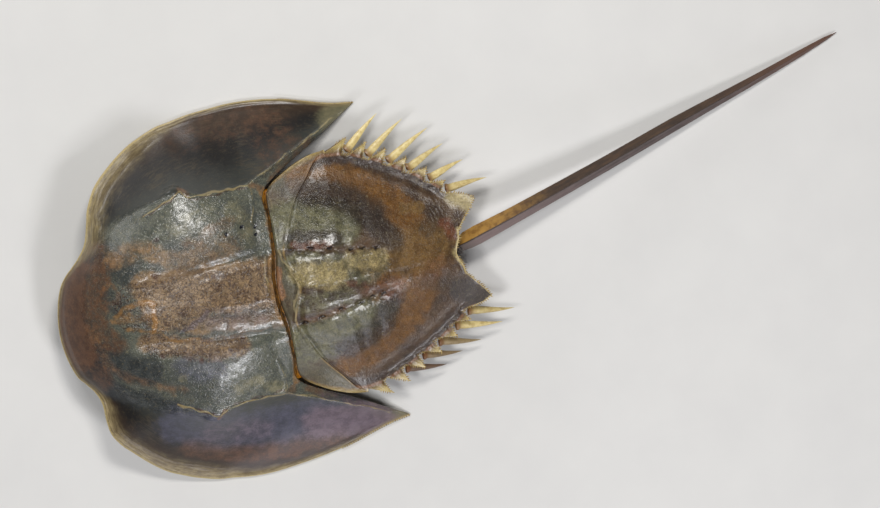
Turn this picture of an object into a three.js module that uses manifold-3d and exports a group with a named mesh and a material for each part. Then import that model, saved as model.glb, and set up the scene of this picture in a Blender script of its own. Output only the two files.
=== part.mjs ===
// Shell of a male horseshoe crab: front shield, rear shield, tail spine, marginal spines, membranes.
// Millimetres. The head points to -X, the tail to +X, the animal's right side to +Y, +Z is up.
// The working origin is on the mid line at the hinge between the two shields, at floor level.
import * as THREE from 'three';
import * as BufferGeometryUtils from 'three/addons/utils/BufferGeometryUtils.js';
import Module from 'manifold-3d';

// Wall of the shell, measured upwards, and the turned-in rim under its edge
const WALL = 2.6;
const RIM_WALL = 2.2;
const FRONT_RIM_TURN = 6;
const REAR_RIM_TURN = 2.5;
// Where a section is short, they take at most these shares of its width
const NARROW = { wall: 0.12, rimWall: 0.1, rimTurn: 0.22 };
// Free gap between two pieces that meet
const GAP = 0.4;

// Front shield. Each line holds points [x, y, z] from the tip of the right genal spine
// to the mid line, and is mirrored for the left side.
const GENAL_TIP = [68, 104.3, 1];
const REAR_MARGIN = [
  GENAL_TIP, [36, 85.2, 17.5], [1.5, 64.5, 36], [-0.5, 46, 49],
  [-1.5, 27, 57.5], [-4, 13, 60], [-4.5, 6.5, 60.8], [-4.5, 0, 61],
];
const REAR_BAND_CREASE = [
  GENAL_TIP, [33.2, 87.4, 21.5], [-8.6, 67.5, 41.5], [-10, 46.5, 51.5],
  [-10, 27, 59.5], [-12, 13, 62], [-12.4, 6.5, 62.6], [-12.5, 0, 62.8],
];
const REAR_PLATEAU = [
  GENAL_TIP, [33, 88, 21.4], [-9.3, 68.2, 41.6], [-17, 52, 53],
  [-32, 40, 62.5], [-50, 24, 68], [-54, 12, 69.5], [-55, 0, 70],
];
const FRONT_PLATEAU = [
  GENAL_TIP, [32.8, 88.6, 21.2], [-10, 69, 41.4], [-27, 60, 53],
  [-55, 56, 61], [-88, 36, 63.5], [-95, 19, 65.5], [-98, 0, 66],
];
const EYE_RIDGE = [
  GENAL_TIP, [32.5, 89.2, 20.8], [-10.8, 70, 41], [-35, 69.5, 51],
  [-60, 73.5, 54], [-104, 58, 46], [-120, 33, 49], [-126, 0, 50],
];
// The outer rim is not the same on both sides. A fourth number marks the station
// of the lines above that the point belongs to.
const FRONT_RIM_RIGHT = [
  [68, 104.3, 1, 0], [51.4, 106.7, 2.2], [30, 112.7, 2.2, 1], [20.2, 115.2, 2.2], [4.6, 117.5, 2.2],
  [-12, 118.2, 2.2, 2], [-26.7, 117.1, 2.2], [-40, 115.8, 2.2, 3], [-52.7, 113.3, 2.2],
  [-63, 111.3, 2.8], [-76, 106.2, 5.5, 4], [-84, 102.3, 9], [-94.3, 95.2, 14], [-104.7, 86.4, 21],
  [-110, 79.7, 26], [-114.8, 70, 31], [-116.5, 63, 33.5, 5], [-120.3, 49.3, 33.2], [-125.5, 41.2, 32],
  [-131, 35, 30, 6], [-136, 30, 28.3], [-141, 22.5, 26.4], [-145, 10, 25], [-147, -6, 24, 7],
];
const FRONT_RIM_LEFT = [
  [68, -104.3, 1, 0], [51.4, -107.9, 2.2], [30, -115, 2.2, 1], [20.2, -117.8, 2.2], [4.6, -121.1, 2.2],
  [-12, -123.8, 2.2, 2], [-26.7, -125.5, 2.2], [-40, -125.7, 2.2, 3], [-52.7, -124.4, 2.2],
  [-63, -123.4, 2.8], [-76, -119.8, 4.5, 4], [-84, -116.5, 6.5], [-94.3, -111.5, 9.5],
  [-104.7, -103.2, 14.5], [-115, -92.7, 20.5], [-120.3, -86.9, 24.5], [-125.5, -78.3, 28.5],
  [-127.2, -68, 32], [-127.7, -57, 33.5, 5], [-130.7, -49, 31], [-136, -42.2, 29, 6],
  [-141, -36, 27], [-145.5, -22, 25], [-147, -6, 24, 7],
];
// How hollow the slope outside the eye ridge is at each station: above 0 sags, below 0 bulges
const FLANK_SAG = [0, 0.2, 0.4, 0.45, 0.45, 0.1, -0.3, -0.35];
const EYE = { at: [-55, 73.6, 51.5], radii: [6.5, 2.6, 4.2] };
const MIDDLE_EYE = { at: [-108, 0, 62.6], radii: [3.2, 1.6, 2.2] };
// A furrow on each side, nearer to the mid line towards the front, and a crest on the mid line.
// Both fade out over these stretches, measured forwards from the hinge.
const FRONT_FURROW = { at: 26.5, closesBy: 9, closesOver: 95, width: 4, depth: 2.4 };
const FRONT_CREST = { width: 6, height: 1.4 };
const FRONT_RELIEF_STARTS = [-2, 8];
const FRONT_RELIEF_ENDS = [88, 112];

// Rear shield, right half, points [x, y] from the front corner to the mid line
const CORNER = [43.4, 80.8];
const FACET_FRONT = [
  CORNER, [31, 78.7], [16, 72.2], [2.5, 62], [1.5, 45], [1, 24], [-1, 11], [-2, 0],
];
const FACET_RIDGE = [
  CORNER, [37, 76.8], [30, 67.5], [18, 52], [12, 40], [6, 23.5], [8.7, 12], [12.3, 0],
];
const FACET_FRONT_HEIGHT = [27, 28.5, 31, 32.5, 43, 52, 55, 56];
const FIXED_SPINE_TIPS = [
  [58.3, 84.8], [70.9, 79.5], [82.6, 73], [94.9, 64.8], [106.6, 55.9], [116.4, 46.3],
];
const SOCKETS = [[56.8, 76.3], [69.5, 70.9], [82, 64.5], [93.7, 57.4], [106.3, 48.9], [115.8, 40.5]];
const SOCKET_RADIUS = 2.9;
// Front and back of a socket's notch in the rim, in socket radii from its middle
const NOTCH_FRONT = [-0.95, -0.3];
const NOTCH_BACK = [0.45, -0.95];
// The trailing side of a fixed spine: how far down it bends, and how far back it is hollowed
const SPINE_BEND = 0.55;
const SPINE_HOLLOW = 0.3;
const END_LOBE = [[121, 37.4], [128, 35.6], [133.5, 32.3], [129.5, 26.5], [123.5, 19]];
const TAIL_NOTCH = [[119.8, 14], [119.3, 9.2], [117.2, 4.5], [116, 0]];
// Heights along the mid line and along the edge, and the half width without spines, as [x, value]
const MID_HEIGHT = [
  [-2, 56], [5, 57.5], [12, 60], [30, 59.5], [50, 56], [70, 51], [90, 45.5], [110, 39], [120, 35.5],
  [134, 30],
];
const EDGE_HEIGHT = [
  [0, 34], [20, 31], [43, 27], [58, 23], [71, 21.5], [83, 21], [95, 21.5], [107, 23], [117, 25.5],
  [134, 29],
];
const HALF_WIDTH = [
  [0, 62], [12, 68], [25, 73.5], [42, 78.5], [57, 76.5], [70, 71], [82, 64.5], [94, 57.5], [106, 49],
  [116, 41], [134, 30],
];
// From the mid line to the edge the outside falls, most of it on a smooth step between these
// shares of the half width, and the rest with the square of the share
const FALL_STEP = [0.1, 0.97];
const FALL_STEP_PART = 0.75;
const FALL_LIMIT = 1.25;
// A furrow on each side, nearer to the mid line towards the tail, and where it fades out
const REAR_FURROW = { at: 26, closes: 0.175, width: 3.2, depth: 1.3, fades: [65, 85] };
// Pits in the furrows, right half
const PITS = [[11, 24.2], [23.3, 22.4], [36.1, 20], [48.4, 17.6], [56.4, 16.2], [65, 14.6]];
const PIT_RADII = [2.1, 1.5, 1.1];
const PIT_RAISED = 0.2;

// Movable spines: the point of each, with how far it droops below its socket
const RIGHT_SPINE_TIPS = [[81.5, 96.6], [96.8, 89.7], [112.1, 80.9], [120, 69], [131, 56.5], [144.2, 42.4]];
const LEFT_SPINE_TIPS = [null, [97, -74.8], [108.5, -68.1], [121.9, -63], [137.5, -53.6], [146.8, -45.7]];
const RIGHT_DROOP = 6;
const LEFT_DROOP = 10;
// How far the middle of a spine's root lies below the outside of the edge
const RIGHT_SINK = 1.6;
const LEFT_SINK = 2.9;
const SPINE_WIDTH = 4.5;
const SPINE_DEPTH = 3.2;
// Sizes of a movable spine at shares of its length
const SPINE_STAGES = [[0.03, 0.72], [0.09, 1], [0.3, 0.9], [0.58, 0.6], [0.85, 0.28]];
const SPINE_CORNERS = 6;

// Tail spine: its line, and its width and depth at shares of its length
const TELSON_LINE = [
  [112, 0.8, 23.6], [133.2, 7.4, 22.6], [161.3, 16.1, 19], [217.7, 34.7, 13], [274.2, 54.2, 8],
  [330.6, 73, 4], [384.4, 92.2, 1.2],
];
const TELSON_WIDTH = [
  [0, 8], [0.03, 10.2], [0.045, 12], [0.07, 12.6], [0.155, 11.2], [0.37, 9.7], [0.58, 8.8], [0.79, 5.8],
  [0.9, 4.4], [0.97, 2.6],
];
const TELSON_DEPTH = [
  [0, 6.5], [0.03, 8], [0.045, 10.4], [0.155, 9.6], [0.37, 8], [0.58, 6.8], [0.79, 4.6], [0.97, 2],
];
// Its section, [across, up] in widths and depths: a ridge on top, two sharp sides and a hollow underside
const TELSON_OUTLINE = [
  [0, 0.6], [-0.27, 0.14], [-0.5, -0.28], [-0.34, -0.4],
  [0, -0.3], [0.34, -0.4], [0.5, -0.28], [0.27, 0.14],
];
const TELSON_SHARES = [
  0, 0.015, 0.03, 0.045, 0.06, 0.1, 0.155, 0.22, 0.29, 0.37, 0.44, 0.51, 0.58, 0.65, 0.72, 0.79, 0.85,
  0.9, 0.94, 0.97,
];

// Skin between the shields: its wall, how far it hangs below the shields' walls, laps under them
// and reaches to each side, and how far its fold stays from the shields' edges
const MEMBRANE_WALL = 1.2;
const MEMBRANE_DROP = 1.4;
const MEMBRANE_LAP = 5;
const MEMBRANE_REACH = 63;
const MEMBRANE_FRONT_FOLD = 0.3;
const MEMBRANE_REAR_FOLD = 0.6;
// Skin round the tail's root: where it starts and ends on the tail, and how far it stands off there
const SLEEVE_START = 0.004;
const SLEEVE_END = 0.026;
const SLEEVE_STANDS_OFF = [2.6, 1.9, 1.4];
const SLEEVE_BORE_SHARES = [0, 0.015, 0.03];

// How finely the pieces are faceted: shares of the way across each part of a section, and which of
// the outside's points the inside follows
const FRONT_COLUMNS = 76;
const FRONT_BAND_ROWS = [0, 1];
const FRONT_PLATEAU_ROWS = [0.14, 0.28, 0.42, 0.57, 0.72, 0.87, 1];
const FRONT_FLANK_ROWS = [0.12, 0.3, 0.5, 0.72, 0.88, 1];
const FRONT_INSIDE = [0, 2, 4, 6, 8, 10, 11, 12];
const REAR_ROWS = [0.1, 0.22, 0.36, 0.5, 0.64, 0.78, 0.89, 0.96, 1];
const REAR_INSIDE = [0, 1, 3, 5, 7, 8];
const HINGE_COLUMNS = 20;
const HINGE_SAMPLES = 12;
const EYE_FACETS = 10;
const SMALL_FACETS = 7;

// Colour and roughness of each material
const FINISH = {
  frontShell: [0x55584a, 0.35],
  rearShell: [0x6a5238, 0.35],
  hingeSkin: [0xa8701f, 0.45],
  tailShell: [0x5a463f, 0.4],
  tailSkin: [0x3c3230, 0.6],
  spineHorn: [0xc9b368, 0.45],
};

const wasm = await Module();
wasm.setup();

const vector = ([x, y, z = 0]) => new THREE.Vector3(x, y, z);
const mirror = ([x, y, ...rest]) => [x, -y, ...rest];
const mix = (a, b, share) => a + (b - a) * share;
const mixPoints = (a, b, share) => a.map((value, axis) => mix(value, b[axis], share));
const bell = (distance, width) => Math.exp(-((distance / width) ** 2));
const ramp = (value, [low, high]) => THREE.MathUtils.smoothstep(value, low, high);
const smoothCurve = (points) => new THREE.CatmullRomCurve3(points.map(vector), false, 'catmullrom', 0.5);

// Value at x on the line through [x, value] pairs
function along(pairs, x) {
  const last = pairs.length - 1;
  if (x <= pairs[0][0]) return pairs[0][1];
  if (x >= pairs[last][0]) return pairs[last][1];
  const i = pairs.findIndex((pair, index) => index > 0 && pair[0] >= x) - 1;
  const share = (x - pairs[i][0]) / (pairs[i + 1][0] - pairs[i][0]);
  return mix(pairs[i][1], pairs[i + 1][1], share);
}

// Smooth line through a right half and its mirror image, read by station number
function mirroredLine(half) {
  const left = half.slice(0, -1).map(mirror).reverse();
  const curve = smoothCurve([...half, ...left]);
  const last = half.length * 2 - 2;
  return (station) => curve.getPoint(station / last).toArray();
}

// Smooth line through two unlike halves, read by the station numbers that its points carry
function markedLine(right, left) {
  const all = [...right, ...left.slice(0, -1).reverse()];
  const curve = smoothCurve(all);
  const middle = right[right.length - 1][3];
  const marks = all
    .map((point, index) => [index < right.length ? point[3] : 2 * middle - point[3], index])
    .filter(([mark]) => Number.isFinite(mark));
  return (station) => curve.getPoint(along(marks, station) / (all.length - 1)).toArray();
}

// Sections, each a closed loop of points with equal counts, joined into one closed body.
// A section that is a single point closes its end.
function loft(sections) {
  const positions = [];
  const starts = sections.map((section) => {
    const start = positions.length / 3;
    section.forEach((point) => positions.push(...point));
    return start;
  });
  const faces = [];
  for (let s = 0; s + 1 < sections.length; s += 1) {
    const count = Math.max(sections[s].length, sections[s + 1].length);
    for (let i = 0; i < count; i += 1) {
      const next = (i + 1) % count;
      const [a, b] = sections[s].length > 1 ? [starts[s] + i, starts[s] + next] : [starts[s], starts[s]];
      const far = sections[s + 1].length > 1;
      const [c, d] = far ? [starts[s + 1] + i, starts[s + 1] + next] : [starts[s + 1], starts[s + 1]];
      if (a !== b) faces.push([a, b, d]);
      if (c !== d) faces.push([a, d, c]);
    }
  }
  const geometry = new THREE.BufferGeometry();
  geometry.setAttribute('position', new THREE.Float32BufferAttribute(positions, 3));
  geometry.setIndex(faces.flat());
  return facingOut(geometry);
}

// Turns every face round if the body is inside out
function facingOut(geometry) {
  const position = geometry.getAttribute('position');
  const index = Array.from(geometry.index.array);
  const corner = (i) => new THREE.Vector3().fromBufferAttribute(position, index[i]);
  let volume = 0;
  for (let i = 0; i < index.length; i += 3) {
    volume += corner(i).dot(corner(i + 1).cross(corner(i + 2)));
  }
  if (volume < 0) {
    for (let i = 0; i < index.length; i += 3) {
      [index[i], index[i + 1]] = [index[i + 1], index[i]];
    }
  }
  geometry.setIndex(index);
  return geometry;
}

function toSolid(geometry) {
  const bare = geometry.clone();
  bare.deleteAttribute('normal');
  bare.deleteAttribute('uv');
  const merged = BufferGeometryUtils.mergeVertices(bare, 1e-4);
  return new wasm.Manifold(new wasm.Mesh({
    numProp: 3,
    vertProperties: new Float32Array(merged.getAttribute('position').array),
    triVerts: new Uint32Array(merged.index.array),
  }));
}

function toGeometry(solid) {
  const { vertProperties, triVerts } = solid.getMesh();
  const geometry = new THREE.BufferGeometry();
  geometry.setAttribute('position', new THREE.BufferAttribute(new Float32Array(vertProperties), 3));
  geometry.setIndex(Array.from(triVerts));
  return geometry;
}

function lump(at, radii, facets) {
  const sphere = new THREE.SphereGeometry(1, facets, Math.max(4, facets - 3));
  sphere.scale(...radii).translate(...at);
  return toSolid(sphere);
}

function named(name, geometry, [color, roughness]) {
  geometry.computeVertexNormals();
  const material = new THREE.MeshStandardMaterial({ color, roughness, metalness: 0 });
  const mesh = new THREE.Mesh(geometry, material);
  mesh.name = name;
  return mesh;
}

// One section of a shell: the outside from its inner edge to its rim, then back underneath.
// The wall and the turned-in rim grow thin where the section is short.
function shellSection(outside, rimTurn, insideRows) {
  const rim = outside[outside.length - 1];
  const width = Math.hypot(rim[0] - outside[0][0], rim[1] - outside[0][1]);
  const wall = Math.min(WALL, width * NARROW.wall);
  const rimWall = Math.min(RIM_WALL, width * NARROW.rimWall);
  const turn = Math.min(rimTurn, width * NARROW.rimTurn) / width;
  const turned = mixPoints(rim, outside[0], turn);
  const floor = Math.max(rim[2] - rimWall, 0);
  const under = [[rim[0], rim[1], floor], [turned[0], turned[1], floor]];
  const inside = insideRows.map((row) => {
    const [x, y, z] = outside[row];
    return [x, y, z - wall];
  });
  return [...outside, ...under, ...inside.reverse()];
}

// Front shield: relief on top of the lofted form. Two furrows bound the raised middle part.
function frontRelief([x, y, z]) {
  const furrowLine = FRONT_FURROW.at - FRONT_FURROW.closesBy * ramp(-x, [0, FRONT_FURROW.closesOver]);
  const onPlateau = ramp(-x, FRONT_RELIEF_STARTS) * (1 - ramp(-x, FRONT_RELIEF_ENDS));
  const furrow = FRONT_FURROW.depth * bell(Math.abs(y) - furrowLine, FRONT_FURROW.width);
  const crest = FRONT_CREST.height * bell(y, FRONT_CREST.width);
  return [x, y, z + onPlateau * (crest - furrow)];
}

// Outside of the front shield at a station, from its rear edge over the plateau to its rim
const frontLines = [REAR_MARGIN, REAR_BAND_CREASE, REAR_PLATEAU, FRONT_PLATEAU, EYE_RIDGE].map(mirroredLine);
const frontRim = markedLine(FRONT_RIM_RIGHT, FRONT_RIM_LEFT);
function frontOutside(station) {
  const [edge, crease, rear, front, ridge] = frontLines.map((line) => line(station));
  const rim = frontRim(station);
  const fromTip = Math.min(station, 2 * (FLANK_SAG.length - 1) - station);
  const sag = along(FLANK_SAG.map((value, index) => [index, value]), fromTip);
  const plateau = smoothCurve([crease, rear, front, ridge]);
  const band = FRONT_BAND_ROWS.map((share) => mixPoints(edge, crease, share));
  const top = FRONT_PLATEAU_ROWS.map((share) => plateau.getPoint(share).toArray());
  const flank = FRONT_FLANK_ROWS.map((share) => {
    const left = 1 - share;
    const [x, y] = mixPoints(ridge, rim, share);
    return [x, y, mix(rim[2], ridge[2], (1 - sag) * left + sag * left * left)];
  });
  return [...band, ...top, ...flank].map(frontRelief);
}

function prosomaGeometry() {
  const stations = 2 * (REAR_MARGIN.length - 1);
  const sections = [[GENAL_TIP]];
  for (let column = 1; column < FRONT_COLUMNS; column += 1) {
    const outside = frontOutside((column / FRONT_COLUMNS) * stations);
    sections.push(shellSection(outside, FRONT_RIM_TURN, FRONT_INSIDE));
  }
  sections.push([mirror(GENAL_TIP)]);
  let solid = toSolid(loft(sections));
  [EYE.at, mirror(EYE.at)].forEach((at) => {
    solid = solid.add(lump(at, EYE.radii, EYE_FACETS));
  });
  solid = solid.add(lump(MIDDLE_EYE.at, MIDDLE_EYE.radii, SMALL_FACETS));
  return toGeometry(solid);
}

// Height of the outside of the rear shield above the point x, y
function rearHeight(x, y) {
  const share = Math.abs(y) / along(HALF_WIDTH, x);
  const rounded = (1 - FALL_STEP_PART) * Math.min(share, FALL_LIMIT) ** 2;
  const fall = FALL_STEP_PART * ramp(share, FALL_STEP) + rounded;
  const fromFurrow = Math.abs(y) - (REAR_FURROW.at - REAR_FURROW.closes * x);
  const open = 1 - ramp(x, REAR_FURROW.fades);
  const furrow = REAR_FURROW.depth * open * bell(fromFurrow, REAR_FURROW.width);
  return mix(along(MID_HEIGHT, x), along(EDGE_HEIGHT, x), fall) - furrow;
}

// Rim of the rear shield, right half, with the fixed spines and the notches for the movable ones.
// The first point is the corner itself, and the next two lead to the first spine.
function rearRim() {
  const points = [CORNER, [43.6, 78.6], [50, 81.2]];
  FIXED_SPINE_TIPS.forEach((tip, i) => {
    const [front, back] = [NOTCH_FRONT, NOTCH_BACK].map((offset) => (
      SOCKETS[i].map((value, axis) => value + SOCKET_RADIUS * offset[axis])
    ));
    const [bendX, bendY] = mixPoints(tip, front, SPINE_BEND);
    points.push(tip, [bendX - SPINE_HOLLOW, bendY], front, back);
    const next = FIXED_SPINE_TIPS[i + 1];
    if (next) points.push(mixPoints(back, next, 0.5));
  });
  return [...points, ...END_LOBE, ...TAIL_NOTCH];
}

const facetFront = FACET_FRONT.map(([x, y], i) => [x, y, FACET_FRONT_HEIGHT[i]]);

// The stations of the facet's lines that fall on the points of the rim with these numbers
const RIM_MARKS = [0, 1, 2, 3.5, 8, 18, 28];

// Columns across the rear shield, each a station of the facet's lines and its point of the rim
function rearColumns() {
  const rim = rearRim();
  const stations = [...RIM_MARKS, rim.length - 1].map((mark, station) => [mark, station]);
  const middle = stations.length - 1;
  const right = rim.map((point, index) => [along(stations, index), point]).slice(1);
  const left = right.slice(0, -1).map(([station, point]) => [2 * middle - station, mirror(point)]);
  return [...right, ...left.reverse()];
}

function opisthosomaGeometry() {
  const front = mirroredLine(facetFront);
  const ridge = mirroredLine(FACET_RIDGE);
  const onTop = ([x, y]) => [x, y, rearHeight(x, y)];
  const middle = rearColumns().map(([station, rimPoint]) => {
    const crest = ridge(station).slice(0, 2);
    const back = [0, ...REAR_ROWS].map((share) => onTop(mixPoints(crest, rimPoint, share)));
    return shellSection([front(station), ...back], REAR_RIM_TURN, REAR_INSIDE);
  });
  let solid = toSolid(loft([[onTop(CORNER)], ...middle, [onTop(mirror(CORNER))]]));
  PITS.flatMap((pit) => [pit, mirror(pit)]).forEach(([x, y]) => {
    solid = solid.subtract(lump([x, y, rearHeight(x, y) + PIT_RAISED], PIT_RADII, SMALL_FACETS));
  });
  return toGeometry(solid);
}

// Skin between the shields: an arch that hangs just under both edges and folds between them
function hingeMembraneGeometry() {
  const sampled = (line, from, to) => {
    const count = HINGE_SAMPLES * (to - from) + 1;
    return Array.from({ length: count }, (unused, i) => line(to - i / HINGE_SAMPLES));
  };
  const frontEdge = sampled(mirroredLine(REAR_MARGIN), 2, 7).map(frontRelief);
  const rearEdge = sampled(mirroredLine(facetFront), 3, 7);
  const edgePoint = (points, y) => [0, 2].map((axis) => (
    along(points.map((point) => [point[1], point[axis]]), Math.abs(y))
  ));
  const hang = WALL + MEMBRANE_DROP;
  const sections = Array.from({ length: HINGE_COLUMNS + 1 }, (unused, column) => {
    const y = mix(MEMBRANE_REACH, -MEMBRANE_REACH, column / HINGE_COLUMNS);
    const [frontX, frontZ] = edgePoint(frontEdge, y);
    const [rearX, rearZ] = edgePoint(rearEdge, y);
    const top = [
      [frontX - MEMBRANE_LAP, frontZ - hang], [frontX + MEMBRANE_FRONT_FOLD, frontZ - hang],
      [rearX - MEMBRANE_REAR_FOLD, rearZ - hang], [rearX + MEMBRANE_LAP, rearZ - hang],
    ];
    const under = top.map(([x, z]) => [x, z - MEMBRANE_WALL]).reverse();
    return [...top, ...under].map(([x, z]) => [x, y, z]);
  });
  const closing = (section) => {
    const [x, y] = section[0];
    return [x + MEMBRANE_LAP, y, section[1][2] - MEMBRANE_WALL / 2];
  };
  return loft([[closing(sections[0])], ...sections, [closing(sections[HINGE_COLUMNS])]]);
}

// A section of the tail spine at a share of its length, wider by the spare on each side
const telsonCurve = smoothCurve(TELSON_LINE);
const telsonPoint = (share) => telsonCurve.getPointAt(share).toArray();
function telsonSection(share, spare = 0) {
  const centre = telsonCurve.getPointAt(share);
  const ahead = telsonCurve.getTangentAt(share);
  const side = new THREE.Vector3(-ahead.y, ahead.x, 0).normalize();
  const width = along(TELSON_WIDTH, share);
  const depth = along(TELSON_DEPTH, share);
  const grow = 1 + (2 * spare) / width;
  return TELSON_OUTLINE.map(([across, up]) => {
    const point = centre.clone().addScaledVector(side, across * width * grow);
    return [point.x, point.y, point.z + up * depth * grow];
  });
}

function telsonGeometry() {
  const sections = TELSON_SHARES.map((share) => telsonSection(share));
  return loft([[telsonPoint(0)], ...sections, [telsonPoint(1)]]);
}

// Skin round the root of the tail: a sleeve that widens towards the hollow of the rear shield
function telsonMembraneGeometry() {
  const last = SLEEVE_STANDS_OFF.length - 1;
  const rings = SLEEVE_STANDS_OFF.map((spare, i) => (
    telsonSection(mix(SLEEVE_START, SLEEVE_END, i / last), spare)
  ));
  const sleeve = loft([[telsonPoint(SLEEVE_START)], ...rings, [telsonPoint(SLEEVE_END)]]);
  const boreEnds = [SLEEVE_BORE_SHARES[0], SLEEVE_BORE_SHARES.at(-1)].map((share) => [telsonPoint(share)]);
  const boreRings = SLEEVE_BORE_SHARES.map((share) => telsonSection(share, GAP));
  const bore = loft([boreEnds[0], ...boreRings, boreEnds[1]]);
  return toGeometry(toSolid(sleeve).subtract(toSolid(bore)));
}

// A jointed spine from its socket to its point, flattened, thickest a little way out, bent back
function movableSpineGeometry(socket, tip, droop, sink) {
  const level = along(EDGE_HEIGHT, socket[0]) - sink;
  const start = vector([socket[0], socket[1], level]);
  const end = vector([tip[0], tip[1], level - droop]);
  const ahead = end.clone().sub(start).normalize();
  const side = new THREE.Vector3(-ahead.y, ahead.x, 0).normalize();
  const up = new THREE.Vector3().crossVectors(ahead, side);
  const length = start.distanceTo(end);
  const rings = SPINE_STAGES.map(([share, size]) => {
    const centre = start.clone().addScaledVector(ahead, share * length);
    return Array.from({ length: SPINE_CORNERS }, (unused, corner) => {
      const angle = (corner / SPINE_CORNERS) * 2 * Math.PI;
      return centre.clone()
        .addScaledVector(side, (SPINE_WIDTH / 2) * size * Math.cos(angle))
        .addScaledVector(up, (SPINE_DEPTH / 2) * size * Math.sin(angle))
        .toArray();
    });
  });
  return loft([[start.toArray()], ...rings, [end.toArray()]]);
}

const shell = new THREE.Group();
shell.add(named('prosoma', prosomaGeometry(), FINISH.frontShell));
shell.add(named('opisthosoma', opisthosomaGeometry(), FINISH.rearShell));
shell.add(named('hinge_membrane', hingeMembraneGeometry(), FINISH.hingeSkin));
shell.add(named('telson', telsonGeometry(), FINISH.tailShell));
shell.add(named('telson_membrane', telsonMembraneGeometry(), FINISH.tailSkin));
SOCKETS.forEach((socket, i) => {
  const right = movableSpineGeometry(socket, RIGHT_SPINE_TIPS[i], RIGHT_DROOP, RIGHT_SINK);
  shell.add(named(`movable_spine_right_${i + 1}`, right, FINISH.spineHorn));
  // The first spine on the left is gone and its socket is empty
  if (!LEFT_SPINE_TIPS[i]) return;
  const left = movableSpineGeometry(mirror(socket), LEFT_SPINE_TIPS[i], LEFT_DROOP, LEFT_SINK);
  shell.add(named(`movable_spine_left_${i + 1}`, left, FINISH.spineHorn));
});

// The part's origin is under the middle of the whole animal, on the floor
const bounds = new THREE.Box3().setFromObject(shell);
const middle = bounds.getCenter(new THREE.Vector3());
shell.position.set(-middle.x, -middle.y, -bounds.min.z);
const group = new THREE.Group();
group.add(shell);

export default group;
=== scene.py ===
import math
import random

import bpy
import numpy as np
from mathutils import Matrix, Vector, noise


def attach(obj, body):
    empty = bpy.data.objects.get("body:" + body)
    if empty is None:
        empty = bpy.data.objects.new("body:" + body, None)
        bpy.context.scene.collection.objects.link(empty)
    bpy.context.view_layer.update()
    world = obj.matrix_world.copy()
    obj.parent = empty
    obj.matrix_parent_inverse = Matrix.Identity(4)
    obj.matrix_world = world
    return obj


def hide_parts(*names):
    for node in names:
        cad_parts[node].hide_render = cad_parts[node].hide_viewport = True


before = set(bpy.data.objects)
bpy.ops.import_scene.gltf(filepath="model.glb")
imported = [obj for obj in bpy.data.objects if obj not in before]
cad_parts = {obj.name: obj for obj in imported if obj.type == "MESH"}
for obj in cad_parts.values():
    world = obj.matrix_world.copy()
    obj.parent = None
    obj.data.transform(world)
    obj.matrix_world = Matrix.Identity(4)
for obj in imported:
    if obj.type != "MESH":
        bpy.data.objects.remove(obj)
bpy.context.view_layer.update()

MM = 0.001

# Front shield: lines from the tip of the right genal spine to the mid line, one point a station
GENAL_TIP = (68, 104.3, 1)
REAR_MARGIN = [
    GENAL_TIP, (36, 85.2, 17.5), (1.5, 64.5, 36), (-0.5, 46, 49),
    (-1.5, 27, 57.5), (-4, 13, 60), (-4.5, 6.5, 60.8), (-4.5, 0, 61),
]
REAR_BAND_CREASE = [
    GENAL_TIP, (33.2, 87.4, 21.5), (-8.6, 67.5, 41.5), (-10, 46.5, 51.5),
    (-10, 27, 59.5), (-12, 13, 62), (-12.4, 6.5, 62.6), (-12.5, 0, 62.8),
]
REAR_PLATEAU = [
    GENAL_TIP, (33, 88, 21.4), (-9.3, 68.2, 41.6), (-17, 52, 53),
    (-32, 40, 62.5), (-50, 24, 68), (-54, 12, 69.5), (-55, 0, 70),
]
FRONT_PLATEAU = [
    GENAL_TIP, (32.8, 88.6, 21.2), (-10, 69, 41.4), (-27, 60, 53),
    (-55, 56, 61), (-88, 36, 63.5), (-95, 19, 65.5), (-98, 0, 66),
]
EYE_RIDGE = [
    GENAL_TIP, (32.5, 89.2, 20.8), (-10.8, 70, 41), (-35, 69.5, 51),
    (-60, 73.5, 54), (-104, 58, 46), (-120, 33, 49), (-126, 0, 50),
]
STATIONS = 2 * (len(REAR_MARGIN) - 1)
# The rim is not the same on both sides: x, y, z and the station the point belongs to, if any
FRONT_RIM_RIGHT = [
    (68, 104.3, 1, 0), (51.4, 106.7, 2.2), (30, 112.7, 2.2, 1), (20.2, 115.2, 2.2), (4.6, 117.5, 2.2),
    (-12, 118.2, 2.2, 2), (-26.7, 117.1, 2.2), (-40, 115.8, 2.2, 3), (-52.7, 113.3, 2.2),
    (-63, 111.3, 2.8), (-76, 106.2, 5.5, 4), (-84, 102.3, 9), (-94.3, 95.2, 14), (-104.7, 86.4, 21),
    (-110, 79.7, 26), (-114.8, 70, 31), (-116.5, 63, 33.5, 5), (-120.3, 49.3, 33.2), (-125.5, 41.2, 32),
    (-131, 35, 30, 6), (-136, 30, 28.3), (-141, 22.5, 26.4), (-145, 10, 25), (-147, -6, 24, 7),
]
FRONT_RIM_LEFT = [
    (68, -104.3, 1, 0), (51.4, -107.9, 2.2), (30, -115, 2.2, 1), (20.2, -117.8, 2.2), (4.6, -121.1, 2.2),
    (-12, -123.8, 2.2, 2), (-26.7, -125.5, 2.2), (-40, -125.7, 2.2, 3), (-52.7, -124.4, 2.2),
    (-63, -123.4, 2.8), (-76, -119.8, 4.5, 4), (-84, -116.5, 6.5), (-94.3, -111.5, 9.5),
    (-104.7, -103.2, 14.5), (-115, -92.7, 20.5), (-120.3, -86.9, 24.5), (-125.5, -78.3, 28.5),
    (-127.2, -68, 32), (-127.7, -57, 33.5, 5), (-130.7, -49, 31), (-136, -42.2, 29, 6),
    (-141, -36, 27), (-145.5, -22, 25), (-147, -6, 24, 7),
]
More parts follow.
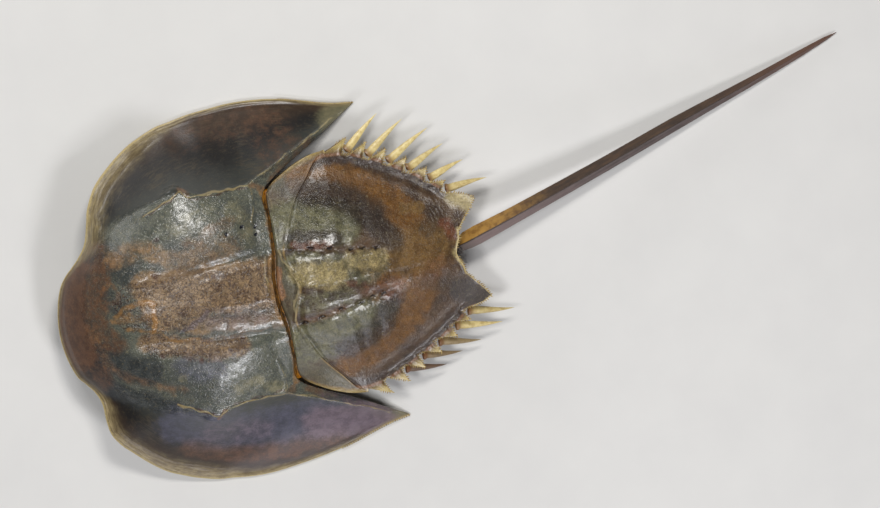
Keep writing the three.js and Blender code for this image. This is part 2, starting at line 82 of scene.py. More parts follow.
# How hollow the slope outside the eye ridge is at each station: above 0 sags, below 0 bulges
FLANK_SAG = [0, 0.2, 0.4, 0.45, 0.45, 0.1, -0.3, -0.35]
# Thickness of both shields' wall and rim, and width of the band that the rim turns in. Where a
# shield is narrow, they are at most a share of its width.
WALL, RIM_WALL = 2.6, 2.2
FRONT_RIM_TURN, REAR_RIM_TURN = 6, 2.5
WALL_SHARE, RIM_WALL_SHARE, RIM_TURN_SHARE = 0.12, 0.1, 0.22

# Rear shield: right half, front corner to the mid line
CORNER = (43.4, 80.8)
FACET_FRONT = [
    (*CORNER, 27), (31, 78.7, 28.5), (16, 72.2, 31), (2.5, 62, 32.5), (1.5, 45, 43), (1, 24, 52),
    (-1, 11, 55), (-2, 0, 56),
]
FACET_RIDGE = [
    CORNER, (37, 76.8), (30, 67.5), (18, 52), (12, 40), (6, 23.5), (8.7, 12), (12.3, 0),
]
FIXED_SPINE_TIPS = [
    (58.3, 84.8), (70.9, 79.5), (82.6, 73), (94.9, 64.8), (106.6, 55.9), (116.4, 46.3),
]
SOCKETS = [(56.8, 76.3), (69.5, 70.9), (82, 64.5), (93.7, 57.4), (106.3, 48.9), (115.8, 40.5)]
SOCKET_RADIUS = 2.9
END_LOBE = [(121, 37.4), (128, 35.6), (133.5, 32.3), (129.5, 26.5), (123.5, 19)]
TAIL_NOTCH = [(119.8, 14), (119.3, 9.2), (117.2, 4.5), (116, 0)]
MID_HEIGHT = [
    (-2, 56), (5, 57.5), (12, 60), (30, 59.5), (50, 56), (70, 51), (90, 45.5), (110, 39), (120, 35.5),
    (134, 30),
]
EDGE_HEIGHT = [
    (0, 34), (20, 31), (43, 27), (58, 23), (71, 21.5), (83, 21), (95, 21.5), (107, 23), (117, 25.5),
    (134, 29),
]
HALF_WIDTH = [
    (0, 62), (12, 68), (25, 73.5), (42, 78.5), (57, 76.5), (70, 71), (82, 64.5), (94, 57.5), (106, 49),
    (116, 41), (134, 30),
]
PITS = [(11, 24.2), (23.3, 22.4), (36.1, 20), (48.4, 17.6), (56.4, 16.2), (65, 14.6)]

# Marginal spines that move, and the tail
RIGHT_SPINE_TIPS = [(81.5, 96.6), (96.8, 89.7), (112.1, 80.9), (120, 69), (131, 56.5), (144.2, 42.4)]
LEFT_SPINE_TIPS = [None, (97, -74.8), (108.5, -68.1), (121.9, -63), (137.5, -53.6), (146.8, -45.7)]
RIGHT_DROOP = 6
LEFT_DROOP = 10
RIGHT_SINK = 1.6
LEFT_SINK = 2.9
SPINE_WIDTH = 4.5
SPINE_DEPTH = 3.2
TELSON_LINE = [
    (112, 0.8, 23.6), (133.2, 7.4, 22.6), (161.3, 16.1, 19), (217.7, 34.7, 13), (274.2, 54.2, 8),
    (330.6, 73, 4), (384.4, 92.2, 1.2),
]
TELSON_WIDTH = [
    (0, 8), (0.03, 10.2), (0.045, 12), (0.07, 12.6), (0.155, 11.2), (0.37, 9.7), (0.58, 8.8),
    (0.79, 5.8), (0.9, 4.4), (0.97, 2.6), (1, 0.3),
]
TELSON_DEPTH = [
    (0, 6.5), (0.03, 8), (0.045, 10.4), (0.155, 9.6), (0.37, 8), (0.58, 6.8), (0.79, 4.6), (0.97, 2),
    (1, 0.3),
]
TELSON_OUTLINE = [
    (0, 0.6), (-0.27, 0.14), (-0.5, -0.28), (-0.34, -0.4), (0, -0.3), (0.34, -0.4), (0.5, -0.28),
    (0.27, 0.14),
]
MEMBRANE_REACH = 63


# Small sums on arrays of points
def lift(points):
    return np.array(points, float)


def mirror(points):
    return [(p[0], -p[1], *p[2:]) for p in points]


def shifted(points, x, y):
    return [(p[0] + x, p[1] + y) for p in points]


def both(marks):
    """Marks of the right side, and the same on the left. The line comes last in a mark."""
    return [*marks, *((*mark[:-1], mirror(mark[-1])) for mark in marks)]


def mix(a, b, share):
    return a + (b - a) * share


def steps(number):
    """Shares from 0 to 1 in a number of equal steps."""
    return np.arange(number + 1) / number


def bell(distance, width):
    return np.exp(-((distance / width) ** 2))


def ramp(value, low, high):
    share = np.clip((value - low) / (high - low), 0, 1)
    return share * share * (3 - 2 * share)


def between(value, low, full, last, high):
    """1 from full to last, falling softly to 0 at low and at high."""
    return ramp(value, low, full) * (1 - ramp(value, last, high))


def ripple(run, start, length):
    return np.cos((run - start) / length * 2 * math.pi)


def along(pairs, value):
    return np.interp(value, [p[0] for p in pairs], [p[1] for p in pairs])


def run_along(line):
    """How far along a line of points each of them lies."""
    return np.concatenate([[0], np.cumsum(np.linalg.norm(np.diff(line, axis=0), axis=1))])


def read_at(at, run, line):
    """Points of a line, read where the rising values of run come to at."""
    return np.stack([np.interp(at, run, line[:, axis]) for axis in range(line.shape[1])], axis=-1)


def unit(way):
    """The same direction, 1 long."""
    return way / np.maximum(np.linalg.norm(way, axis=-1, keepdims=True), 1e-6)


def directions(start, end):
    """The way from start to end, the level way to its left and the way up from it."""
    ahead = unit(end - start)
    side = unit(np.cross((0, 0, 1), ahead))
    return ahead, side, np.cross(ahead, side)


def smooth_step(before, start, end, after, share):
    """Point on the smooth line from start to end, given the points before and after them."""
    leave, arrive = (end - before) / 2, (after - start) / 2
    s2, s3 = share * share, share * share * share
    return ((2 * s3 - 3 * s2 + 1) * start + (s3 - 2 * s2 + share) * leave
            + (3 * s2 - 2 * s3) * end + (s3 - s2) * arrive)


def smooth_line(points, at):
    """Points on a smooth line through the given ones. at is their number, with parts between."""
    points = lift(points)
    padded = np.vstack([2 * points[0] - points[1], points, 2 * points[-1] - points[-2]])
    number = np.clip(np.asarray(at, float), 0, len(points) - 1)
    first = np.minimum(number.astype(int), len(points) - 2)
    share = (number - first)[..., None]
    return smooth_step(*(padded[first + k] for k in range(4)), share)


def across(right_half, station):
    """A line of the right half and its mirror image on the left."""
    return smooth_line([*right_half, *mirror(right_half[:-1])[::-1]], station)


def distance_to(line, x, y):
    """Distance in the plan from every x, y to a line of points, or to a single point."""
    line = lift(line)[:, :2]
    if len(line) == 1:
        return np.hypot(x - line[0][0], y - line[0][1])
    nearest = np.full(np.shape(x), np.inf)
    for (ax, ay), (bx, by) in zip(line[:-1], line[1:]):
        dx, dy = bx - ax, by - ay
        share = np.clip(((x - ax) * dx + (y - ay) * dy) / (dx * dx + dy * dy), 0, 1)
        nearest = np.minimum(nearest, np.hypot(x - ax - share * dx, y - ay - share * dy))
    return nearest


def plan_gap(net, line):
    """Distance in the plan from each point of a net to the point of a line in the same column."""
    return np.linalg.norm(net[..., :2] - line[:, None, :2], axis=2)


# Relief and stains
EDGE_WANDER = 2.2
EDGE_LUMPS = 7


def noise_field(x, y, size, seed=0.0):
    """Soft noise from about -1 to 1 whose lumps measure about size."""
    flat = [noise.noise((a / size, b / size, seed)) for a, b in zip(np.ravel(x), np.ravel(y))]
    return lift(flat).reshape(np.shape(x))


def lumps(sizes, x, y, first_seed):
    """Height of soft noise of several sizes at once. A size is height and size of its lumps."""
    return sum(height * noise_field(x, y, size, first_seed + i) for i, (height, size) in enumerate(sizes))


def bands(marks, distance):
    """Height of raised and sunken bands. A band is height, distance and half width."""
    return sum(height * bell(distance - at, width) for height, at, width in marks)


def mound(place, reach, x, y):
    """A soft oval mound, 1 at its place."""
    return bell(np.hypot((x - place[0]) / reach[0], (y - place[1]) / reach[1]), 1)


def embossed(marks, x, y):
    """Height of raised and sunken lines at x, y. A mark is height, width and line."""
    return sum(height * bell(distance_to(line, x, y), width) for height, width, line in marks)


def beaded(rows, x, y):
    """Height of rows of small grains. A row is height, radius and pitch of the grains, and line."""
    total = np.zeros_like(x)
    for height, radius, pitch, line in rows:
        dense = smooth_line(line, np.linspace(0, len(line) - 1, 40 * len(line)))[:, :2]
        run = run_along(dense)
        row = np.zeros_like(x)
        for px, py in read_at(np.arange(pitch / 2, run[-1], pitch), run, dense):
            row = np.maximum(row, height * bell(np.hypot(x - px, y - py), radius))
        total += row
    return total


def painted(marks, x, y, seed):
    """Strength of soft-edged marks at x, y. A mark is strength, half width, soft edge and line."""
    wx = x + EDGE_WANDER * noise_field(x, y, EDGE_LUMPS, seed)
    wy = y + EDGE_WANDER * noise_field(x, y, EDGE_LUMPS, seed + 3.5)
    total = np.zeros_like(x)
    for strength, half, soft, line in marks:
        total = np.maximum(total, strength * (1 - ramp(distance_to(line, wx, wy), half, half + soft)))
    return total


def stain_sheen_and_shade_fields(stains, net, first_seed, seed_step):
    """The strength of each kind of stain, painted sheen and painted shade at each point of a net."""
    return {name: painted(marks, net[..., 0], net[..., 1], first_seed + seed_step * i)
            for i, (name, marks) in enumerate(stains.items())}


# Nets: a net is columns of rows of points, and a field is one value at each of them
# The middle of the whole animal's box is at 0, 0 in the world
WORLD_SHIFT = lift((-118.7, 3.8, 0))
MERGE_GAP = 0.002
SMOOTH_BELOW = 38


def rows_between(net, number):
    """Rows of a net, read at numbers with parts between its own."""
    low = np.minimum(number.astype(int), net.shape[1] - 2)
    return mix(net[:, low], net[:, low + 1], (number - low)[None, :, None])


def filled(values, net, filler=0.0):
    """Values of a net's first rows, with a filler on all the rows after them."""
    rest = np.full((len(net), net.shape[1] - values.shape[1]), filler)
    return np.concatenate([values, rest], axis=1)


def inner_field(net, first_row):
    """1 on the inner rows of a net. Its last row lies on its first again, and is an outer one."""
    inner = np.zeros(net.shape[:2])
    inner[:, first_row:-1] = 1
    return inner


def grid_piece(name, net, fields=None):
    """A grid primitive whose vertices are put on the net, in millimetres, with named fields."""
    columns, rows = net.shape[0] - 1, net.shape[1] - 1
    bpy.ops.object.select_all(action="DESELECT")
    bpy.ops.mesh.primitive_grid_add(x_subdivisions=columns, y_subdivisions=rows, size=1)
    piece = bpy.context.object
    piece.name = piece.data.name = name
    flat = np.empty(len(piece.data.vertices) * 3)
    piece.data.vertices.foreach_get("co", flat)
    u, v = flat.reshape(-1, 3)[:, 0], flat.reshape(-1, 3)[:, 1]
    column = np.rint((u + 0.5) * columns).astype(int)
    row = np.rint((v + 0.5) * rows).astype(int)
    piece.data.vertices.foreach_set("co", ((net[column, row] + WORLD_SHIFT) * MM).ravel())
    for field, values in (fields or {}).items():
        attribute = piece.data.attributes.new(field, "FLOAT", "POINT")
        attribute.data.foreach_set("value", values[column, row].astype(float).ravel())
    piece.data.update()
    return piece


def close_up(piece):
    """Merges the seam and the poles, turns the faces outwards and smooths all but sharp edges."""
    bpy.ops.object.select_all(action="DESELECT")
    piece.select_set(True)
    bpy.context.view_layer.objects.active = piece
    bpy.ops.object.mode_set(mode="EDIT")
    bpy.ops.mesh.select_all(action="SELECT")
    bpy.ops.mesh.remove_doubles(threshold=MERGE_GAP * MM)
    bpy.ops.mesh.dissolve_degenerate(threshold=MERGE_GAP * MM)
    bpy.ops.mesh.normals_make_consistent(inside=False)
    bpy.ops.object.mode_set(mode="OBJECT")
    bpy.ops.object.shade_smooth_by_angle(angle=math.radians(SMOOTH_BELOW))


# Front shield: rows of its net on the rear band, the plateau, the slope, the edge, the band that
# turns in under it, and the inside
FRONT_COLUMNS = 420
BAND_ROWS, PLATEAU_ROWS, FLANK_ROWS = 12, 96, 62
LIP_ROWS, TURN_ROWS, INSIDE_ROWS = 8, 2, 35
RIDGE_ROW = BAND_ROWS + PLATEAU_ROWS
# How much the rows crowd together towards the ridge, and towards both ends of the slope
PLATEAU_CROWDING, FLANK_CROWDING = 1.4, 0.6
# How far the edge between plateau and slope is rounded off, and how far its colours blend, by station
RIDGE_ROUNDING = [0.6, 0.6, 0.7, 0.8, 1.2, 9, 22, 26]
RIDGE_SOFTNESS = [1, 1, 1.2, 1.5, 3, 10, 20, 24]
# Width of the swollen, tan rim by station, right and left, and where it is wide enough to stand out
RIM_ROLL_RIGHT = [1.4, 1.4, 1.5, 1.8, 7, 9, 1.8, 1.2]
RIM_ROLL_LEFT = [1.4, 1.6, 2.2, 4, 7.5, 5, 1.8, 1.2]
NARROW_ROLL, WIDE_ROLL = 4.5, 8
# Bands of the rim: height, then distance from the edge and half width, the last two of the swollen
# rim as shares of its width
ROLL_BANDS = [(1.1, 0.5, 0.36), (-0.8, 1.25, 0.3)]
RIM_BANDS = [(0.3, 1.3, 1.0), (-0.25, 3.4, 1.2)]
FRONT_LUMPS = [(0.2, 6.5), (0.12, 2.6), (0.3, 14)]
SILKY_HEIGHT = 0.25
# The eyes bulge from the slope under the eye ridges
EYE_X, EYE_LEVEL = -59, 50
EYE_HALF_LENGTH, EYE_HALF_HEIGHT = 6, 3.4
EYE_SLANT = 0.3
EYE_OUT, EYE_UP = 1.5, 1.0
# The mid line swells, and a furrow runs on each side of it, nearer to it towards the head
AXIS_SWELL, AXIS_WIDTH = 1.2, 10
FURROW_DEPTH, FURROW_WIDTH = 2.2, 4.5
FURROW_REAR, FURROW_DRAW = 26.5, 9
# How far ahead of the hinge the furrows draw in, and where they and the swell start and end
FURROW_DRAWN = (0, 95)
FURROW_ENDS = (-2, 8, 88, 112)
# Widths of the shield over which the rim's beads and the raised lines come up, and the distances
# from the mid line over which the tan band behind it fades
RIM_BEAD_WIDTHS, LINE_WIDTHS = (8, 40), (4, 20)
BAND_HALF_WIDTHS = (22, 26)
# Where the inside starts, in parts of the net from the rim, and the lowest that it comes
INSIDE_START = 0.12
INSIDE_FLOOR = 0.3

# Lines on the front shield, in the plan
KEEL = [(-81, 8), (-70, 5), (-50, 1), (-43, -1.6), (-25, -3.4), (-8.5, -2.4)]
LOBE_LEFT_LINE = [
    (-85, -9.5), (-77, -15.7), (-70, -19), (-58, -20.6), (-38.6, -22.5), (-25, -22), (-12, -22.8),
]
LOBE_RIGHT_LINE = [(-65, 24), (-50, 25.2), (-37, 24), (-21, 23.7), (-9, 23.8)]
EYE_CREST = [(-53, 74.9), (-48, 70.6), (-39, 69.2), (-31, 69.4), (-21, 69.4), (-10, 69)]
FRONT_OF_EYE = [(-80, 62.8), (-68, 67), (-59.6, 71.4), (-54, 75)]
BAND_CREST = [(-9.6, 68.5), (-8.4, 65), (-8, 60), (-8.6, 54.6), (-10.6, 46.5)]
BAND_BEAD = [(-5.4, 25.6), (-6.2, 20), (-7.8, 12), (-8.9, 2.4), (-8.5, -3)]
GENAL_CREST = [(-8, 69.5), (8, 76.5), (20, 82.2), (33, 88), (44, 93.5), (54, 98.5)]
H_BAR = [(-84, 10), (-83, 1), (-85, -7), (-85, -9.5)]
H_RIGHT_ARM = [(-108, 3), (-103, 6.8), (-92, 9.9), (-84, 10), (-81, 8)]
H_LEFT_ARM = [(-102, -6.8), (-95, -7.1), (-86, -9.9), (-79.5, -10.4)]
BROW_LOOP = [(-115, 20), (-108, 25), (-105, 20), (-105, 13), (-110, 11), (-115, 14), (-115, 20)]
LOWER_STREAK = [(-132, -11), (-127, -22), (-126, -33), (-118, -43), (-97, -53), (-81, -59)]
OCELLUS = [(-111, -0.4), (-106.5, 0.7)]
MUSCLE_MARKS = [(-39.4, 17.3), (-39.5, -16.1), (-82.4, -26.8), (-73, 48), (-78, 24), (-60, -34)]
DARK_DOTS = [(-28.7, 42.5), (-17.8, 43.8), (-9.4, 43.4), (-9, 39.2)]
LEFT_FLANK = [(-81, -78), (-50, -88), (-17, -92), (16, -92), (42, -93)]
LEFT_RIM_INNER = [(-77, -96), (-46, -108), (-14, -111), (20, -107)]

# Stains, painted sheen and painted highlights: strength, half width, soft edge and line of each mark
FRONT_STAINS_AND_SHEEN = {
    "brow": [
        (1.0, 7, 13, [(-132, 34), (-138, 15), (-140, -4), (-137, -18)]),
        (0.65, 3, 10, [(-115, 46), (-115, 30), (-120, 15), (-121, -5), (-112, -14)]),
        (0.55, 3, 8, [(-132, -11), (-130, -26), (-124, -40)]),
        (0.35, 8, 16, [(6, 104), (13, 92), (16, 84)]),
        (0.3, 4, 14, [(-50, 104), (-20, 106), (10, 104)]),
        (0.7, 3, 8, LEFT_RIM_INNER),
        *both([(0.5, 1.5, 4, [(6, 68.5), (18, 78), (36, 88)])]),
    ],
    "cardiac": [
        (0.95, 6, 8, [(-86, 19), (-64, 17), (-44, 16), (-16, 15)]),
        (0.95, 5, 6, [(-84, 6), (-60, 3), (-30, 0), (-12, 0)]),
        (0.7, 3, 6, [(-84, -3), (-60, -10), (-40, -14), (-14, -15)]),
        (0.95, 3, 7, [(-90, -17), (-65, -25), (-47, -30), (-33, -29)]),
        (0.6, 2, 8, [(-103, 40), (-92, 42), (-80, 40), (-66, 34)]),
        (0.55, 4, 9, [(-60, 30), (-45, 32), (-30, 34)]),
    ],
    "ginger": [
        (0.5, 0.3, 1.4, LOBE_LEFT_LINE[3:]),
        (0.5, 0.8, 6, [(-53, 42), (-44, 45), (-34, 48), (-23, 50)]),
        (0.35, 1.2, 8, [(-106, 36), (-97, 42), (-88, 45), (-79, 44)]),
        (0.45, 0.6, 6, shifted(LOWER_STREAK, 6, 6)),
        (0.45, 0.6, 2.2, BROW_LOOP),
        *both([
            (0.6, 0.5, 2.0, [(-54, 75.6), (-49, 72)]),
            (0.6, 0.8, 2.6, [(-7, 69), (-3, 67.5), (0, 64)]),
        ]),
    ],
    "slate": [
        (0.7, 4, 12, [(-112, 46), (-105, 38), (-96, 30)]),
        (0.6, 3, 9, [(-110, 16), (-104, 8)]),
        (0.9, 5, 11, [(-127, -21), (-118, -26), (-106, -33), (-94, -37)]),
        (0.9, 2.5, 8, [(-129, -31), (-122, -44), (-110, -52), (-97, -57), (-84, -64)]),
        (0.5, 4, 13, [(-78, -44), (-66, -52), (-52, -58)]),
        (0.6, 5, 14, [(-70, 33), (-58, 34), (-46, 30)]),
        (0.5, 3, 8, [(-20, 22), (-14, 34), (-12, 50)]),
    ],
    # violet_sheen: a thin blue-violet streak on the mid lobe, and painted bluish-lilac sheen on the
    # plateau, beside the mid lobe and along the left slope
    "violet_sheen": [
        (0.8, 0.5, 2.4, [(-67, -13), (-62, -11.5), (-56, -8), (-50, -3.6)]),
        (0.6, 3, 10, [(-70, -36), (-62, -42), (-50, -42)]),
        (0.8, 8, 14, LEFT_FLANK),
        (0.45, 3, 8, [(-46, -11), (-30, -13), (-15, -14)]),
    ],
    # mauve: pinkish-lavender towards the rear of the left slope, partly the pinkish end of the painted
    # sheen along it
    "mauve": [(0.9, 6, 12, [(8, -97), (30, -98), (46, -100)]), (0.4, 4, 10, [(-60, -88), (-30, -92)])],
    "cream": [
        (0.6, 1.6, 6, [(-38, -58), (-25, -57), (-13, -65)]),
        (0.5, 2, 7, [(-22, 58), (-16, 46), (-15, 36)]),
        (0.6, 3, 6, [(-17, 14), (-12, 10), (-11, 2)]),
        (0.35, 2, 7, [(-62, 50), (-50, 56), (-38, 60)]),
        (0.5, 1.4, 3, [(-72, -43)]),
        *both([(0.9, 3, 9, [(50, 97), (60, 101), (68, 104)])]),
    ],
    "gold": [
        (1.0, 0.9, 1.4, H_BAR),
        (0.7, 0.6, 2.2, H_RIGHT_ARM),
        (0.4, 2.5, 3.6, [(-103, 2), (-94, 0), (-87, 1)]),
        (0.55, 0.6, 1.8, H_LEFT_ARM),
        (0.6, 0.3, 1.3, LOBE_LEFT_LINE[:4]),
        (0.5, 1.3, 1.6, [(-3.2, 22), (-4.2, 13), (-5, 6), (-5, 0), (-5, -6), (-4.2, -13), (-3.2, -23)]),
        (0.6, 1.0, 2.0, OCELLUS),
        *both([(0.45, 0.8, 2.4, [(-1, 64), (0, 46), (-1, 27)])]),
    ],
    "umber": [
        *[(0.75, 1.2, 1.8, [spot]) for spot in MUSCLE_MARKS],
        (0.5, 1.0, 2, [(-95, 0), (-86, -2)]),
        *both([(0.7, 0.2, 1.0, FRONT_OF_EYE), (0.5, 0.3, 1.2, shifted(EYE_CREST, 0, -1.2))]),
    ],
    "dots": [(1.0, 0.8, 0.7, [spot]) for spot in DARK_DOTS],
    "worn": [
        (1.0, 13, 9, [(-92, 6), (-70, 5), (-40, 4), (-14, 4)]),
        (0.9, 5, 9, [(-86, -18), (-60, -26), (-35, -30)]),
        (0.5, 5, 10, [(-60, 32), (-40, 34), (-24, 36)]),
    ],
    # pale: pale crest and bead lines, partly a painted highlight where light catches the ridges
    "pale": [
        (0.6, 0.2, 0.8, BAND_BEAD),
        *both([
            (0.8, 0.2, 0.9, EYE_CREST), (0.9, 0.15, 0.9, FRONT_OF_EYE),
            (0.6, 0.2, 0.8, BAND_CREST), (0.6, 0.2, 0.9, GENAL_CREST),
        ]),
    ],
}
# Raised and sunken lines: height, width and line
FRONT_EMBOSSING = [
    (1.3, 8.0, [(-90, 16.5)]),
    (0.8, 1.8, [(-104, 68), (-112, 59.3), (-121, 45.7), (-128.7, 33.9)]),
    (0.35, 2.2, KEEL),
    (0.45, 1.5, LOBE_LEFT_LINE),
    (-0.4, 2.4, shifted(LOBE_LEFT_LINE, 0, -3.4)),
    (-0.35, 2.2, LOBE_RIGHT_LINE),
    (0.3, 1.8, H_BAR),
    (0.35, 2.2, H_RIGHT_ARM),
    (0.25, 1.8, H_LEFT_ARM),
    (0.8, 1.3, OCELLUS),
    (-0.5, 1.0, [(-112.5, -2.4), (-105, -1.6)]),
    (0.55, 0.9, BAND_BEAD),
    (-0.9, 0.8, [(-9.6, 24.4), (-4, 23.2), (-1, 23.6)]),
    (-0.9, 0.8, [(-9.8, -25.4), (-4, -27), (-1.2, -27.6)]),
    *[(-0.5, 2.4, [spot]) for spot in MUSCLE_MARKS],
    *[(-0.5, 1.2, [spot]) for spot in DARK_DOTS],
    *both([
        (0.45, 0.9, EYE_CREST), (0.6, 1.0, FRONT_OF_EYE), (0.6, 1.0, BAND_CREST),
        (0.35, 1.0, GENAL_CREST), (-0.35, 1.5, shifted(BAND_CREST, 2.5, -0.5)),
    ]),
]
FRONT_BEADS = [
    (0.3, 0.6, 1.9, BAND_BEAD),
    *both([(0.4, 0.5, 1.7, GENAL_CREST), (0.3, 0.6, 1.9, EYE_CREST[1:]), (0.3, 0.6, 1.9, BAND_CREST)]),
]


def front_rim(station):
    """The outer rim, read by station."""
    points = [*FRONT_RIM_RIGHT, *FRONT_RIM_LEFT[:-1][::-1]]
    right = len(FRONT_RIM_RIGHT)
    marks = [(p[3] if i < right else STATIONS - p[3], i) for i, p in enumerate(points) if len(p) == 4]
    return smooth_line([p[:3] for p in points], along(marks, station))


def by_station(values, station):
    """Values of the right half's stations, read on both sides."""
    return np.interp(np.minimum(station, STATIONS - station), range(len(values)), values)


def front_parts():
    """Places of the rows: 0 to 1 on the rear band, to 2 on the plateau and to 3 on the slope. They
    crowd together where the plateau ends and where the slope starts and ends."""
    slope = steps(FLANK_ROWS)[1:]
    return np.concatenate([
        steps(BAND_ROWS),
        2 - (1 - steps(PLATEAU_ROWS)[1:]) ** PLATEAU_CROWDING,
        2 + mix(slope, ramp(slope, 0, 1), FLANK_CROWDING),
    ])


def front_outside(station, part, lip_radius):
    """Bare outside of the front shield, its rim and the way inward from the rim."""
    lines = (REAR_MARGIN, REAR_BAND_CREASE, REAR_PLATEAU, FRONT_PLATEAU, EYE_RIDGE)
    edge, crease, rear, front, ridge = (across(line, station)[:, None] for line in lines)
    rim = front_rim(station)[:, None]
    inward = edge - rim
    inward /= np.maximum(np.linalg.norm(inward[..., :2], axis=2), 1e-6)[..., None]
    lip = rim + inward * lip_radius[:, None, None]
    lip[..., 2] = rim[..., 2]
    knots = [2 * crease - rear, crease, rear, front, ridge, 2 * ridge - front]
    rows = []
    for place in part:
        if place <= 1:
            rows.append(mix(edge, crease, place))
        elif place <= 2:
            knot = min(int((place - 1) * 3), 2)
            rows.append(smooth_step(*knots[knot:knot + 4], (place - 1) * 3 - knot))
        else:
            left = 3 - place
            slope = mix(ridge, lip, place - 2)
            sag = by_station(FLANK_SAG, station)[:, None]
            slope[..., 2] = mix(rim[..., 2], ridge[..., 2], (1 - sag) * left + sag * left * left)
            rows.append(slope)
    return np.concatenate(rows, axis=1), rim[:, 0], inward[:, 0]


def round_ridge(net, ridge_row, radius):
    """Rounds off the edge that runs along one row of a net, over a radius for each column."""
    for column, reach in zip(net, radius):
        run = run_along(column)
        run -= run[ridge_row]
        reach = min(reach, -0.8 * run[0], 0.8 * run[-1])
        if reach <= 0:
            continue
        near = np.abs(run) < reach
        first, last = read_at([-reach, reach], run, column)
        share = ((run[near] + reach) / (2 * reach))[:, None]
        column[near] = ((1 - share) ** 2 * first + 2 * share * (1 - share) * column[ridge_row]
                        + share ** 2 * last)


def front_furrows(x, y):
    """The swell of the mid line and the furrows beside it, which fade out before both ends."""
    furrow_line = FURROW_REAR - FURROW_DRAW * ramp(-x, *FURROW_DRAWN)
    furrows = FURROW_DEPTH * bell(np.abs(y) - furrow_line, FURROW_WIDTH)
    return between(-x, *FURROW_ENDS) * (AXIS_SWELL * bell(y, AXIS_WIDTH) - furrows)


def front_relief(bare, part, flank, width, from_rim, roll):
    """Height of the fine relief on the front shield."""
    x, y = bare[..., 0], bare[..., 1]
    swollen_rim = bands(ROLL_BANDS, from_rim / roll) * ramp(roll, NARROW_ROLL, WIDE_ROLL)
    rim_bead = bands(RIM_BANDS, from_rim) * ramp(width, *RIM_BEAD_WIDTHS)[:, None]
    silky = SILKY_HEIGHT * noise_field(x * 0.6, y, 22, 4) * 4 * flank * (1 - flank)
    lines = embossed(FRONT_EMBOSSING, x, y) + beaded(FRONT_BEADS, x, y)
    on_top = np.clip(1 - flank * 6, 0, 1) * ramp(part, 0.4, 1.1)[None, :]
    return ((flank > 0) * (swollen_rim + rim_bead + silky)
            + lines * ramp(width, *LINE_WIDTHS)[:, None] + on_top * lumps(FRONT_LUMPS, x, y, 1))


def swell_eyes(outside, bare, flank):
    """Pushes the two eyes out of the slope."""
    x, y, z = (bare[..., axis] for axis in range(3))
    ahead, down = x - EYE_X, z - EYE_LEVEL
    oval = ((ahead + EYE_SLANT * down) / EYE_HALF_LENGTH) ** 2 + (down / EYE_HALF_HEIGHT) ** 2
    for side in (1, -1):
        near = (flank > 0) * (side * y > 0) * np.exp(-(oval ** 2))
        outside[..., 1] += side * EYE_OUT * near
        outside[..., 2] += EYE_UP * near


def front_lip(rim, inward, lip_radius, width):
    """Rows round the shield's edge, and then of the flat band that turns in under it."""
    turn = np.minimum(FRONT_RIM_TURN, width * RIM_TURN_SHARE)
    floor = np.maximum(rim[:, 2] - 2 * lip_radius, 0)
    rows = []
    for angle in math.pi * steps(LIP_ROWS)[1:]:
        row = rim + inward * (lip_radius * (1 - math.sin(angle)))[:, None]
        row[:, 2] = mix(floor, rim[:, 2], (1 + math.cos(angle)) / 2)
        rows.append(row)
    for share in steps(TURN_ROWS)[1:]:
        row = rim + inward * mix(lip_radius, turn, share)[:, None]
        row[:, 2] = floor
        rows.append(row)
    return np.stack(rows, axis=1)


def front_inside(bare, part, width):
    """Rows of the inside, from the rim to the rear margin, a wall's thickness under the outside."""
    place = np.clip(3 * (1 - steps(INSIDE_ROWS)[1:]) - INSIDE_START, 0, 3)
    under = rows_between(bare, np.interp(place, part, np.arange(len(part))))
    wall = np.minimum(WALL, width * WALL_SHARE)
    under[..., 2] = np.maximum(under[..., 2] - wall[:, None], INSIDE_FLOOR)
    return under


def front_shape():
    """Net of the front shield and the fields of its finish."""
    station, part = np.linspace(0, STATIONS, FRONT_COLUMNS + 1), front_parts()
    width = np.linalg.norm((front_rim(station) - across(REAR_MARGIN, station))[:, :2], axis=1)
    lip_radius = np.minimum(RIM_WALL, width * RIM_WALL_SHARE) / 2
    bare, rim, inward = front_outside(station, part, lip_radius)
    round_ridge(bare, RIDGE_ROW, by_station(RIDGE_ROUNDING, station))
    bare[..., 2] += front_furrows(bare[..., 0], bare[..., 1])

    rolls = (by_station(roll, station) for roll in (RIM_ROLL_LEFT, RIM_ROLL_RIGHT))
    roll = np.where(station > STATIONS / 2, *rolls)[:, None]
    flank = np.clip(part - 2, 0, 1)[None, :] + 0 * bare[..., 0]
    outside = bare.copy()
    outside[..., 2] += front_relief(bare, part, flank, width, plan_gap(bare, rim), roll)
    swell_eyes(outside, bare, flank)
    lip, under = front_lip(rim, inward, lip_radius, width), front_inside(bare, part, width)
    net = np.concatenate([outside, lip, under, outside[:, :1]], axis=1)

    fields = stain_sheen_and_shade_fields(FRONT_STAINS_AND_SHEEN, net, 0, 1.7)
    fields["from_rim"] = plan_gap(net, rim)
    fields["along_rim"] = run_along(rim)[:, None] + 0 * net[..., 0]
    fields["flank"] = filled(flank, net, 1.0)
    fields["rim_roll"] = roll + 0 * net[..., 0]
    soft = by_station(RIDGE_SOFTNESS, station)[:, None]
    from_ridge = np.linalg.norm(outside - outside[:, RIDGE_ROW:RIDGE_ROW + 1], axis=2)
    signed = np.where(part > 2, -from_ridge, from_ridge)
    fields["plateau"] = filled(ramp(signed, -soft, soft), net)
    mid_line = 1 - ramp(np.abs(outside[..., 1]), *BAND_HALF_WIDTHS)
    fields["band"] = filled((1 - ramp(part, 0.85, 1.0)) * mid_line, net)
    fields["inner"] = inner_field(net, outside.shape[1] + LIP_ROWS)
    return net, fields


